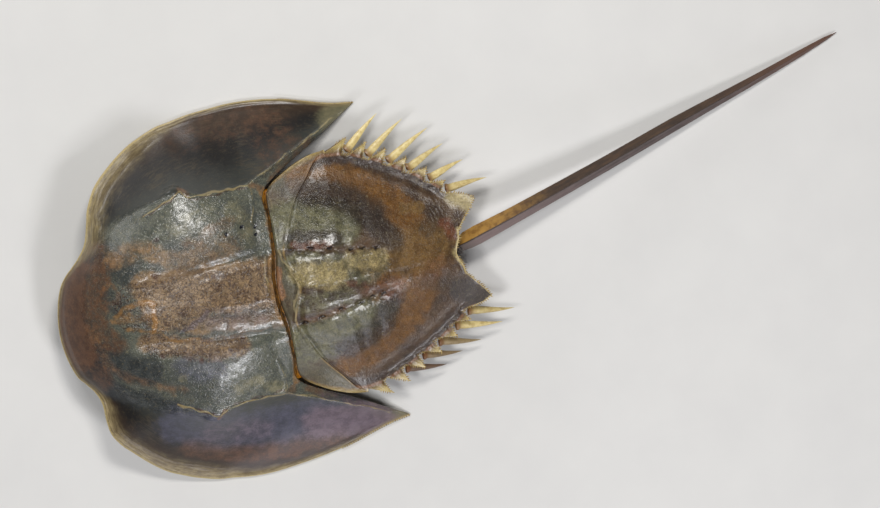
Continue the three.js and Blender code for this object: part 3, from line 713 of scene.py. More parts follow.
# Rear shield: columns of its net to a point of the rim, rows on the front facet, the back, the
# edge and the inside, and how many of the edge's rows look outwards
REAR_STEPS = 5
FACET_ROWS, BACK_ROWS, REAR_LIP_ROWS, REAR_INSIDE_ROWS = 18, 132, 8, 27
REAR_EDGE_ROWS = 5
ON_BACK = np.append(np.zeros(FACET_ROWS + 1), np.ones(BACK_ROWS))
# How far from the rim to the facet's front edge the inside reaches
REAR_INSIDE_REACH = 0.94
# Waves across the back: height, start and length of a wave, middle and half width of their strip,
# and where it rises to its full height and falls off again
BACK_WAVES = [(0.4, 11, 12.6, 0, 13, (6, 14, 66, 80)), (0.25, 14, 13, 36, 14, (10, 24, 60, 80))]
# Each half bulges at the front, and small creases run across one place near the rear end on the
# right: height, place, reach ahead and aside, and the creases' direction and spacing
BULGE_HEIGHT, BULGE_PLACE, BULGE_REACH = 0.8, (26, 38), (20, 12)
CREASE_HEIGHT, CREASE_PLACE, CREASE_REACH = 0.35, (107, 27), (7, 8)
CREASE_WAY, CREASE_LENGTH = (0.94, 0.3), 2.4
FACET_SWELL = 0.55
# Bands: height, distance and half width, from the facet's ridge, from its front edge, from the side
# of the shield and from the sockets
SEAM_BANDS = [(0.45, 0, 1.2)]
GROOVE_BANDS = [(-0.4, 3.2, 1.8)]
FACET_BEAD = [(0.35, 1.1, 0.9)]
EDGE_BANDS = [(0.5, 2.0, 1.2), (-0.6, 6.5, 3.2), (0.4, 12, 3)]
COLLAR = [(0.4, 4.1, 1.1)]
REAR_LUMPS = [(0.2, 6), (0.1, 2.4), (0.25, 13)]
# Where the bands of the side start and end, how far from the side the lumps come up, and the
# widths of the shield over which the facet's relief does
EDGE_ENDS = (44, 56, 104, 118)
LUMPS_START = (3, 12)
FACET_WIDTHS = (8, 30)
BACK_CROWDING = 1.8
# The bare back falls mostly in a soft step and partly in a bow, with a furrow beside the ridge
SOFT_FALL, BOW_FALL = 0.75, 0.25
REAR_FURROW_DEPTH, REAR_FURROW_WIDTH = 1.3, 3.2
REAR_FURROW_START, REAR_FURROW_SLANT, REAR_FURROW_FADE = 26, 0.175, (65, 85)

V_BEAD = [
    (3, 23.5), (3.8, 22.4), (6.7, 14.6), (10.4, 5.2), (11.8, 1.6), (10.9, -1.8), (7.8, -11.5), (5.2, -22),
]
BROWN_ARC = [
    (24, 66), (38, 66), (53, 60), (68, 50), (80, 41), (88, 30), (92, 17), (94, 4), (94, -10), (88, -27),
    (78, -36), (66, -45), (50, -53), (36, -58),
]
# Rear stains, with painted sheen on the green and cream, painted highlights on the pale lines and painted
# shadow in the first umber mark
REAR_STAINS_SHEEN_AND_SHADE = {
    # green: green-grey patches, their pale tone brightened in part to paint their sheen
    "green": [
        (1.0, 8, 11, [(8, 40), (20, 42), (34, 38), (46, 34)]),
        (0.85, 7, 8, [(14, 12), (28, 8), (46, 5), (62, 3)]),
        (1.0, 9, 12, [(8, -40), (24, -38), (43, -35), (57, -29)]),
        (0.6, 4, 8, [(14, -12), (28, -12), (40, -11)]),
    ],
    "umber": [
        # The first umber mark paints shadow on the slope inside the brown arc; the others are dark marks
        # of the shell
        (1.0, 3.5, 11, [(28, 57), (45, 52), (58, 43), (67, 33)]),
        (0.85, 2.5, 6, [(12, 30), (26, 28.5), (40, 26)]),
        (0.7, 3, 10, [(70, 28), (76, 18)]),
        (0.85, 3, 9, [(34, -47), (51, -43), (63, -34), (69, -20)]),
        (0.6, 1.8, 2.5, [(36, 6)]),
        (0.5, 3, 7, [(100, 20), (108, 26)]),
        (0.5, 3, 9, [(104, -18), (96, -14)]),
        (0.6, 2, 7, [(14, 60), (24, 62)]),
    ],
    "brown": [(0.95, 5, 9, BROWN_ARC), (0.7, 4, 8, [(70, -8), (78, -14), (84, -20)])],
    "tan": [
        (0.75, 9, 14, [(84, 8), (100, 8)]),
        (0.8, 2.2, 3, [(88, 34.6), (97, 33.4)]),
        (0.5, 5, 8, [(60, 6), (72, 5)]),
    ],
    "rust": [
        (0.7, 1.6, 2.6, [(45.5, -4.6)]), (0.7, 1.6, 2.6, [(53.8, -6.4)]),
        (0.5, 4, 9, [(60, -12), (72, -13)]),
        (0.8, 1.6, 4, [(111, 20), (115.5, 12)]),
        (0.6, 1.0, 3.5, [(12, 26), (24, 24.5), (36, 22)]),
        (0.45, 1.0, 3.5, [(12, -24), (24, -22), (38, -19)]),
        (0.35, 3, 9, [(104, -4), (98, -8)]),
    ],
    "cream": [
        # The first two cream marks are the pale yellow axial strip, brightened in part into a painted
        # sheen; the last ones edge the tail notch
        (0.8, 5, 8, [(16, 8), (28, 5), (36, 3)]),
        (0.6, 3, 7, [(48, 10), (58, 9), (66, 8)]),
        *both([(0.8, 0.5, 1.6, [(119.5, 14.5), (118.9, 9.2), (116.8, 4.5), (115.4, 0)])]),
    ],
    "lobe": [(0.9, 3.5, 6, [(123, 35), (130, 31)])],
    "dusk": [(1.0, 5, 4, [(114, -24), (122, -28), (128, -32)])],
    "fold": [(0.8, 2.2, 2.5, [(0, 13), (-0.5, 4), (-0.5, -4)])],
    "dots": both([
        (1.0, 0.35, 0.8, [(x - 1.3, y + 0.5), (x, y - 0.4), (x + 1.3, y + 0.2)]) for x, y in PITS
    ]),
    "worn": [(0.8, 12, 8, [(10, 2), (60, 0)]), (0.5, 8, 10, BROWN_ARC)],
    # pale: pale beads of the V ridge and facet lines, partly a painted highlight where light catches them
    "pale": [(0.9, 0.3, 0.9, V_BEAD), *both([(0.45, 0.2, 0.8, [(2.6, 60), (3, 45), (2.8, 28)])])],
}
REAR_EMBOSSING = [
    (1.1, 1.1, V_BEAD),
    (0.4, 1.6, [(20, 0), (60, 0), (96, 0)]),
    (-0.5, 1.2, [(36, 6)]),
    (1.0, 1.4, [(118.6, 10.4)]),
    *both([(0.7, 0.9, TAIL_NOTCH)]),
    *both([mark for x, y in PITS for mark in (
        (-1.1, 0.9, [(x - 1.4, y + 0.5), (x, y - 0.4), (x + 1.4, y + 0.2)]),
        (0.45, 1.2, [(x - 1.6, y - 2.0), (x + 1.8, y - 2.2)]),
        (0.4, 1.2, [(x - 1.2, y + 2.0), (x + 1.4, y + 1.8)]),
    )]),
]
REAR_BEADS = [(0.3, 0.6, 1.9, V_BEAD)]


def rear_rim():
    """Rim of the rear shield, right half, with the fixed spines and the notches between them."""
    points = [CORNER, (43.6, 78.6), (50, 81.2)]
    for i, tip in enumerate(FIXED_SPINE_TIPS):
        x, y = SOCKETS[i]
        front = (x - 0.95 * SOCKET_RADIUS, y - 0.3 * SOCKET_RADIUS)
        back = (x + 0.45 * SOCKET_RADIUS, y - 0.95 * SOCKET_RADIUS)
        bend = mix(lift(tip), lift(front), 0.55)
        points += [tip, (bend[0] - 0.3, bend[1]), front, back]
        if i + 1 < len(FIXED_SPINE_TIPS):
            points.append(tuple(mix(lift(back), lift(FIXED_SPINE_TIPS[i + 1]), 0.5)))
    return [*points, *END_LOBE, *TAIL_NOTCH]


REAR_RIM = rear_rim()
REAR_LAST = len(REAR_RIM) - 1
# Points of the rim that belong to the stations 0 to 7 of the facet's edges
RIM_MARKS = [0, 1, 2, 3.5, 8, 18, 28, REAR_LAST]


def rear_height(x, y):
    """Height of the bare outside of the rear shield."""
    share = np.abs(y) / along(HALF_WIDTH, x)
    fall = SOFT_FALL * ramp(share, 0.1, 0.97) + BOW_FALL * np.minimum(share, 1.25) ** 2
    from_furrow = np.abs(y) - (REAR_FURROW_START - REAR_FURROW_SLANT * x)
    furrow = bell(from_furrow, REAR_FURROW_WIDTH) * (1 - ramp(x, *REAR_FURROW_FADE))
    return mix(along(MID_HEIGHT, x), along(EDGE_HEIGHT, x), fall) - REAR_FURROW_DEPTH * furrow


def on_rear(plan):
    """Points of a plan, lifted onto the bare outside of the rear shield."""
    return np.dstack([plan, rear_height(plan[..., 0], plan[..., 1])])


def socket_gap(x, y):
    """Distance in the plan to the nearest socket of a marginal spine, on either side."""
    return np.min([np.hypot(x - sx, np.abs(y) - sy) for sx, sy in SOCKETS], axis=0)


def rear_margin(x, y):
    """Distance inward from the side of the rear shield, without its spines."""
    return along(HALF_WIDTH, x) - np.abs(y)


def rear_relief(bare, front, crest, side, open_crest):
    """Height of the fine relief on the rear shield, whose net is still two right halves."""
    x, y = bare[..., 0], np.abs(bare[..., 1])
    signed_y, margin, from_crest = bare[..., 1] * side[:, None], rear_margin(x, y), plan_gap(bare, crest)
    waves = sum(height * ripple(x, start, length) * bell(y - middle, half) * between(x, *ends)
                for height, start, length, middle, half, ends in BACK_WAVES)
    facet = FACET_SWELL * np.sin(math.pi * np.append(steps(FACET_ROWS), np.ones(BACK_ROWS)))
    seam = facet + bands(SEAM_BANDS, from_crest) + ON_BACK * bands(GROOVE_BANDS, from_crest)
    front_bead = (1 - ON_BACK) * bands(FACET_BEAD, plan_gap(bare, front))
    edge = bands(EDGE_BANDS, margin) * between(x, *EDGE_ENDS)
    soft = lumps(REAR_LUMPS, x, signed_y, 11) * ramp(margin, *LUMPS_START)
    way = x * CREASE_WAY[0] + signed_y * CREASE_WAY[1]
    creases = np.sin(way / CREASE_LENGTH * 2 * math.pi) * mound(CREASE_PLACE, CREASE_REACH, x, signed_y)
    return (waves + BULGE_HEIGHT * mound(BULGE_PLACE, BULGE_REACH, x, y)
            + ON_BACK * (edge + soft + CREASE_HEIGHT * creases)
            + (seam + front_bead) * open_crest + bands(COLLAR, socket_gap(x, y))
            + embossed(REAR_EMBOSSING, x, signed_y) + beaded(REAR_BEADS, x, signed_y))


def rear_lip(rim, inward, width):
    """Rows round the edge, in the first two thirds, and then of the band that turns in under it."""
    height = rear_height(rim[:, 0], rim[:, 1])
    turn = np.minimum(REAR_RIM_TURN, width * RIM_TURN_SHARE)
    wall = np.minimum(RIM_WALL, width * RIM_WALL_SHARE)
    rows = []
    for step in steps(REAR_LIP_ROWS)[1:]:
        angle = min(step * 1.5, 1) * math.pi
        plan = rim + inward * (turn * max(step * 3 - 2, 0))[:, None]
        rows.append(np.column_stack([plan, height - wall * (1 - math.cos(angle)) / 2]))
    return np.stack(rows, axis=1)


def rear_shape():
    """Net of the rear shield and the fields of its finish. Both its halves are shaped as right
    ones, and the left one is turned over at the end."""
    place = np.arange(2 * REAR_LAST * REAR_STEPS + 1) / REAR_STEPS
    right = np.minimum(place, 2 * REAR_LAST - place)
    side = np.where(place <= REAR_LAST, 1.0, -1.0)
    station = along([(mark, i) for i, mark in enumerate(RIM_MARKS)], right)
    rim = read_at(right, range(REAR_LAST + 1), lift(REAR_RIM))
    front, crest = across(FACET_FRONT, station), across(FACET_RIDGE, station)
    width = np.linalg.norm(rim - front[:, :2], axis=1)
    inward = (front[:, :2] - rim) / np.maximum(width, 1e-6)[:, None]
    open_crest = ramp(width, *FACET_WIDTHS)[:, None]

    share = steps(BACK_ROWS)[1:]
    share = mix(share, 1 - (1 - share) ** BACK_CROWDING, 0.5)
    back = on_rear(mix(crest[:, None], rim[:, None], share[None, :, None]))
    facet = mix(front[:, None], on_rear(crest[:, None]), steps(FACET_ROWS)[None, :, None])
    bare = np.concatenate([facet, back], axis=1)
    outside = bare.copy()
    outside[..., 2] += rear_relief(bare, front, crest, side, open_crest)
    number = (FACET_ROWS + BACK_ROWS) * (1 - steps(REAR_INSIDE_ROWS)[1:]) * REAR_INSIDE_REACH
    under = rows_between(bare, number)
    under[..., 2] -= np.minimum(WALL, width * WALL_SHARE)[:, None]
    net = np.concatenate([outside, rear_lip(rim, inward, width), under, outside[:, :1]], axis=1)
    net[..., 1] *= side[:, None]

    fields = stain_sheen_and_shade_fields(REAR_STAINS_SHEEN_AND_SHADE, net, 20, 1.3)
    fields["margin"] = rear_margin(net[..., 0], net[..., 1])
    fields["from_rim"] = plan_gap(net, rim * np.column_stack([np.ones_like(side), side]))
    fields["facet"] = filled((1 - ON_BACK) + 0 * bare[..., 0], net)
    from_crest = plan_gap(bare, crest)
    fields["seam"] = filled(bell(from_crest, 0.8) * open_crest, net)
    # groove: a brown line behind the facet's crest, darkened as painted shade in the sunken groove
    fields["groove"] = filled(bell(from_crest - 2.2, 1.2) * ON_BACK * open_crest, net)
    fields["socket"] = bell(socket_gap(net[..., 0], net[..., 1]) - 2.6, 0.8)
    fields["inner"] = inner_field(net, outside.shape[1] + REAR_EDGE_ROWS)
    return net, fields


# Tail spine
TAIL_COLUMNS, TAIL_ROWS = 420, 32
TOOTH_PITCH, TOOTH_HEIGHT = 2.6, 0.9
TOOTH_REACH, RIDGE_REACH = 0.35, 0.32


def tail_frame(share):
    """Middle and sideways direction of the tail at shares of its length, and the way along it."""
    dense = smooth_line(TELSON_LINE, np.linspace(0, len(TELSON_LINE) - 1, 2001))
    run = run_along(dense)
    at = np.clip(share, 0, 1) * run[-1]
    ahead = read_at(at + 1, run, dense) - read_at(at - 1, run, dense)
    side = np.column_stack([-ahead[:, 1], ahead[:, 0], np.zeros(len(at))])
    return read_at(at, run, dense), unit(side), at


def tail_shape():
    """Net of the tail, three-edged, with saw teeth on the upper edge, and the fields of its finish."""
    share = steps(TAIL_COLUMNS)
    centre, side, run = tail_frame(share)
    corners = len(TELSON_OUTLINE)
    at = steps(TAIL_ROWS) * corners
    section = read_at(at, range(corners + 1), lift([*TELSON_OUTLINE, TELSON_OUTLINE[0]]))
    width, depth = along(TELSON_WIDTH, share), along(TELSON_DEPTH, share)
    net = centre[:, None] + side[:, None] * (section[:, 0] * width[:, None])[..., None]
    from_ridge = np.minimum(at, corners - at)
    tooth = TOOTH_HEIGHT * ((run / TOOTH_PITCH) % 1) * between(share, 0.02, 0.06, 0.75, 0.98)
    net[..., 2] += section[:, 1] * depth[:, None] + tooth[:, None] * bell(from_ridge, TOOTH_REACH)
    net[0], net[-1] = centre[0], centre[-1]
    full = np.ones(net.shape[:2])
    return net, {
        "run": run[:, None] * full,
        "right_face": between(at, corners - 3, corners - 1.6, corners - 0.02, corners) * full,
        "around": at / corners * full,
        "ridge": bell(from_ridge, RIDGE_REACH) * full,
    }


# Skins: the folded one between the shields and the wrinkled sleeve round the root of the tail
SKIN_COLUMNS, SLEEVE_COLUMNS, SLEEVE_ROWS = 200, 24, 36
# Steps of the hinge skin from front to rear and back below: where it lies between both edges, how
# far past them and how far under them
SKIN_PROFILE = [
    (0, -4.6, 4.8), (0, -2.0, 4.0), (0, 0.2, 3.2), (0.12, 0, 1.6), (0.3, 0, 1.3), (0.45, 0, 2.6),
    (0.55, 0, 3.6), (0.7, 0, 2.4), (0.86, 0, 1.5), (1, -0.2, 2.9), (1, 1.8, 3.9), (1, 4.4, 4.9),
    (1, 4.4, 5.7), (1, 1.8, 4.9), (0.6, 0, 4.6), (0.3, 0, 4.4), (0, -2.0, 4.9), (0, -4.6, 5.7),
    (0, -4.6, 4.8),
]
SKIN_ROWS_A_STEP = 3
SKIN_LUMPS = [(0.35, 5), (0.2, 1.8)]
# The sleeve's ends as shares of the tail, and how far it stands off the tail along its length
SLEEVE_FROM, SLEEVE_TO = 0.003, 0.027
SLEEVE_SPARE = [(0, 2.4), (0.5, 1.9), (0.85, 1.2), (1, -1.5)]
SLEEVE_RAISE = 0.4
WRINKLE_HEIGHT = 0.25


def skin_shape():
    """Net of the skin between the shields, folded along the hinge, and the fields of its finish."""
    y = np.linspace(MEMBRANE_REACH, -MEMBRANE_REACH, SKIN_COLUMNS + 1)
    station = np.linspace(2, 7, 201)
    lines = (across(line, station)[::-1] for line in (REAR_MARGIN, FACET_FRONT))
    front, rear = (read_at(np.abs(y), line[:, 1], line)[:, None] for line in lines)
    profile = lift(SKIN_PROFILE)
    at = np.arange((len(profile) - 1) * SKIN_ROWS_A_STEP + 1) / SKIN_ROWS_A_STEP
    share, past, under = read_at(at, range(len(profile)), profile).T
    free = np.sin(math.pi * np.clip(share, 0, 1))
    waver = lumps(SKIN_LUMPS, y, 0 * y, 31)[:, None] * free
    net = np.dstack([mix(front[..., 0], rear[..., 0], share) + past + waver, y[:, None] + 0 * share,
                     mix(front[..., 2], rear[..., 2], share) - under + 0.5 * waver])
    for end in (0, -1):
        net[end] = net[end].mean(axis=0)
    return net, {"ends": ramp(np.abs(y), 52, 64)[:, None] * np.ones(net.shape[:2])}


def sleeve_shape():
    """Net of the wrinkled sleeve of skin round the root of the tail. Its finish needs no fields."""
    share = np.linspace(SLEEVE_FROM, SLEEVE_TO, SLEEVE_COLUMNS + 1)
    centre, side, run = tail_frame(share)
    angle = steps(SLEEVE_ROWS) * 2 * math.pi
    spare = along(SLEEVE_SPARE, steps(SLEEVE_COLUMNS))[:, None]
    wrinkle = WRINKLE_HEIGHT * np.sin(run[:, None] * 3.2 + 1.5 * np.cos(angle))
    half_width = along(TELSON_WIDTH, share)[:, None] / 2 + spare + wrinkle
    half_depth = along(TELSON_DEPTH, share)[:, None] / 2 + spare * 0.8 + wrinkle
    net = centre[:, None] + side[:, None] * (half_width * np.cos(angle))[..., None]
    net[..., 2] += half_depth * np.sin(angle) + SLEEVE_RAISE
    net[0], net[-1] = centre[0], centre[-1]
    return net, {}


# Marginal spines
SPINE_COLUMNS, SPINE_ROWS = 34, 18
SPINE_STAGES = [
    (0, 0), (0.012, 0.95), (0.035, 1.34), (0.07, 1.26), (0.11, 0.98), (0.22, 1.0), (0.42, 0.82),
    (0.65, 0.52), (0.85, 0.25), (0.96, 0.08), (1, 0),
]
SPINE_SWELL = 1.16
SPINE_BOW = 0.9
# How dark the spines have gone, first to last
RIGHT_SPINE_STAIN = [0, 0.05, 0.0, 0.1, 0, 0.15]
LEFT_SPINE_STAIN = [1, 1, 0.85, 0.75, 0.15, 0.3]


def spine_ends(socket, tip, droop, sink):
    level = float(along(EDGE_HEIGHT, socket[0])) - sink
    return lift((*socket, level)), lift((*tip, level - droop))


def spine_shape(socket, tip, droop, sink, stain):
    """Net of a marginal spine, bowed a little towards the tail, and the fields of its finish."""
    start, end = spine_ends(socket, tip, droop, sink)
    side, up = directions(start, end)[1:]
    share, angle = steps(SPINE_COLUMNS)[:, None], steps(SPINE_ROWS) * 2 * math.pi
    size = along(SPINE_STAGES, share) * (1 + 0.05 * np.sin(angle * 3 + socket[0]))
    bow = SPINE_BOW * np.sign(socket[1]) * np.sin(math.pi * share) * share
    centre = start + (end - start) * share + side * bow
    across_it = SPINE_SWELL * SPINE_WIDTH / 2 * size * np.cos(angle)
    upright = SPINE_DEPTH / 2 * size * np.sin(angle)
    net = centre[:, None] + side * across_it[..., None] + up * upright[..., None]
    return net, {"reach": share * np.ones_like(size), "stain": np.full(size.shape, stain)}


# Frayed bristles behind the root of each marginal spine, and fine barbs along the rims
BRISTLES_A_SOCKET = 9
BRISTLE_WIDTH = 0.34
BARB_WIDTH = 1.4
BARB_PITCH = 1.6
# Reach of the barbs and how far under or over a rim's line they stand, rear and genal
REAR_BARB_REACH, REAR_BARB_RAISE = 1.7, -0.6
GENAL_BARB_REACH, GENAL_BARB_RAISE = 0.6, 0.2
# The genal barbs go from the spine's tip to this station
GENAL_BARB_END = 1.4
# Where a bristle tuft would point at the socket that has lost its spine
LOST_SPINE_REACH = (24, 12)


def barb_net(root, tip, width):
    """One bristle or barb: a thin three-sided point."""
    side, up = directions(root, tip)[1:]
    angle = steps(3) * 2 * math.pi
    ring = side * np.cos(angle)[:, None] + up * np.sin(angle)[:, None]
    stages = ((0, 0), (0.02, 1), (0.5, 0.7), (1, 0))
    return np.stack([mix(root, tip, share) + width / 2 * size * ring for share, size in stages])


def joined(name, nets):
    """Many small nets as one piece."""
    pieces = [grid_piece("part", net) for net in nets]
    bpy.ops.object.select_all(action="DESELECT")
    for piece in pieces:
        piece.select_set(True)
    bpy.context.view_layer.objects.active = pieces[0]
    bpy.ops.object.join()
    pieces[0].name = pieces[0].data.name = name
    close_up(pieces[0])
    return pieces[0]


def bristle_tuft(socket, tip, droop, sink, chance):
    """A fan of bristles round the back of a spine's root."""
    start, end = spine_ends(socket, tip, droop, sink)
    ahead, side, up = directions(start, end)
    toward_tail = side * -math.copysign(1, socket[1])
    for k in range(BRISTLES_A_SOCKET):
        fan = mix(-0.6, 1.0, k / (BRISTLES_A_SOCKET - 1)) + chance.uniform(-0.1, 0.1)
        root = start + ahead * chance.uniform(0.2, 1.0) + toward_tail * (2.2 + 1.3 * fan) + up * 1.5
        way = ahead * chance.uniform(0.8, 1.2) + toward_tail * chance.uniform(0.1, 0.7)
        way = way + up * chance.uniform(0.0, 0.35)
        yield barb_net(root, root + way * chance.uniform(1.4, 2.6), BRISTLE_WIDTH)


def barb_row(line, reach, chance):
    """Barbs that stand out from a rim, leaning towards the tail."""
    run = run_along(line)
    for at in np.arange(BARB_PITCH, run[-1] - BARB_PITCH, BARB_PITCH):
        here, before, after = read_at([at, at - 0.6, at + 0.6], run, line)
        ahead = unit(after - before)
        out = lift((ahead[1], -ahead[0], 0)) * -np.sign(here[1])
        lean = ahead * chance.uniform(0.2, 0.7) * np.sign(ahead[0])
        length = reach * chance.uniform(0.6, 1.2)
        yield barb_net(here - out * 0.5, here + (out + lean) * length, BARB_WIDTH)


# Materials
class Value:
    """An output of a material's node. Plain arithmetic on it adds the Math nodes."""

    def __init__(self, paint, socket):
        self.paint, self.socket = paint, socket

    def __add__(self, other):
        return self.paint.sum("ADD", self, other)

    def __sub__(self, other):
        return self.paint.sum("SUBTRACT", self, other)

    def __mul__(self, other):
        return self.paint.sum("MULTIPLY", self, other)

    def __truediv__(self, other):
        return self.paint.sum("DIVIDE", self, other)

    def __radd__(self, other):
        return self.paint.sum("ADD", other, self)

    def __rsub__(self, other):
        return self.paint.sum("SUBTRACT", other, self)

    def __rmul__(self, other):
        return self.paint.sum("MULTIPLY", other, self)


def tone(red, green, blue):
    """A colour as it looks on a screen, 0 to 255, turned to light."""
    def light(value):
        share = value / 255
        return share / 12.92 if share <= 0.04045 else ((share + 0.055) / 1.055) ** 2.4
    return (light(red), light(green), light(blue), 1.0)


class Paint:
    """One material and the nodes that make its finish."""

    def __init__(self, name):
        self.material = bpy.data.materials.new(name)
        self.material.use_nodes = True
        self.tree = self.material.node_tree
        self.shader = self.tree.nodes["Principled BSDF"]
        self.place = self.node("ShaderNodeTexCoord", output="Object")

    def node(self, kind, settings=None, inputs=None, output=0):
        made = self.tree.nodes.new(kind)
        for key, value in (settings or {}).items():
            setattr(made, key, value)
        for key, value in (inputs or {}).items():
            self.feed(made.inputs[key], value)
        return Value(self, made.outputs[output])

    def feed(self, socket, value):
        if isinstance(value, Value):
            self.tree.links.new(value.socket, socket)
        else:
            socket.default_value = value

    def sum(self, operation, first, second):
        return self.node("ShaderNodeMath", {"operation": operation}, {0: first, 1: second})

    def shift(self, operation, first, second):
        """Vector Math on two vectors."""
        return self.node("ShaderNodeVectorMath", {"operation": operation}, {0: first, 1: second})

    def field(self, name):
        return self.node("ShaderNodeAttribute", {"attribute_name": name}, output="Fac")

    def blend(self, low, high, share):
        return self.node("ShaderNodeMix", {"data_type": "RGBA", "clamp_factor": True},
                         {0: share, 6: low, 7: high}, output=2)

    def layers(self, colour, *coats):
        """Lays colours over a colour, one after another. A coat is a colour and its share."""
        for coat, share in coats:
            colour = self.blend(colour, coat, share)
        return colour

    def step(self, value, low, high):
        return self.node("ShaderNodeMapRange", {"interpolation_type": "SMOOTHSTEP"},
                         {"Value": value, 1: low, 2: high})

    def vector(self, x, y, z=0.0):
        return self.node("ShaderNodeCombineXYZ", inputs={0: x, 1: y, 2: z})

    def noise(self, size, detail=3.0, rough=0.55, twist=0.0, place=None, output="Fac"):
        """Cloudy noise from 0 to 1 whose lumps measure about size millimetres."""
        return self.node("ShaderNodeTexNoise", {}, {
            "Vector": place or self.place, "Scale": 1 / (size * MM), "Detail": detail, "Roughness": rough,
            "Distortion": twist}, output=output)

    def warped(self, size, reach):
        """The place, shaken by noise of a size over a reach, both in millimetres."""
        shake = self.shift("SUBTRACT", self.noise(size, 2.0, 0.5, output="Color"), (0.5, 0.5, 0.5))
        return self.shift("ADD", self.place, self.shift("MULTIPLY", shake, (reach * MM,) * 3))

    def cells(self, size, feature="F1", place=None):
        return self.node("ShaderNodeTexVoronoi", {"feature": feature}, {
            "Vector": place or self.place, "Scale": 1 / (size * MM)}, output="Distance")

    def squiggles(self, size, width):
        """Thin winding lines, 1 on the line and 0 beside it."""
        level = self.noise(size, 1.0, 0.5, 0.9) - 0.5
        from_line = self.node("ShaderNodeMath", {"operation": "ABSOLUTE"}, {0: level})
        return 1 - self.step(from_line, width * 0.4, width)

    def bump(self, height, distance):
        return self.node("ShaderNodeBump", {}, {
            "Height": height, "Distance": distance * MM, "Strength": 1.0})

    def stains(self, colour, kinds, cloud, fray):
        """Lays soft-edged, frayed stains, painted sheen and painted shade over a colour: field, dark and
        light tone, strength.
        """
        for name, dark, light, strength in kinds:
            mask = self.field(name)
            share = self.step(mask + fray * mask * (1 - mask) * 2.6, 0.05, 0.95)
            colour = self.blend(colour, self.blend(dark, light, cloud), share * strength)
        return colour

    def mottled(self, colour, amount=1.0):
        """Breaks a colour up with darker and paler specks, as horn has."""
        dark = self.step(self.noise(2.6, 5, 0.75), 0.5, 0.68)
        pale = self.step(self.noise(1.7, 5, 0.75, 0.5), 0.53, 0.7)
        return self.layers(colour, (tone(30, 24, 20), dark * 0.45 * amount),
                           (tone(164, 150, 112), pale * 0.26 * amount))

    def finish(self, colour, roughness, normal=None, coat=0.0, coat_roughness=0.1, specular=0.5):
        self.feed(self.shader.inputs["Base Color"], colour)
        self.feed(self.shader.inputs["Roughness"], roughness)
        if normal:
            self.feed(self.shader.inputs["Normal"], normal)
        self.feed(self.shader.inputs["Coat Weight"], coat)
        self.shader.inputs["Coat Roughness"].default_value = coat_roughness
        self.shader.inputs["Specular IOR Level"].default_value = specular
        return self.material


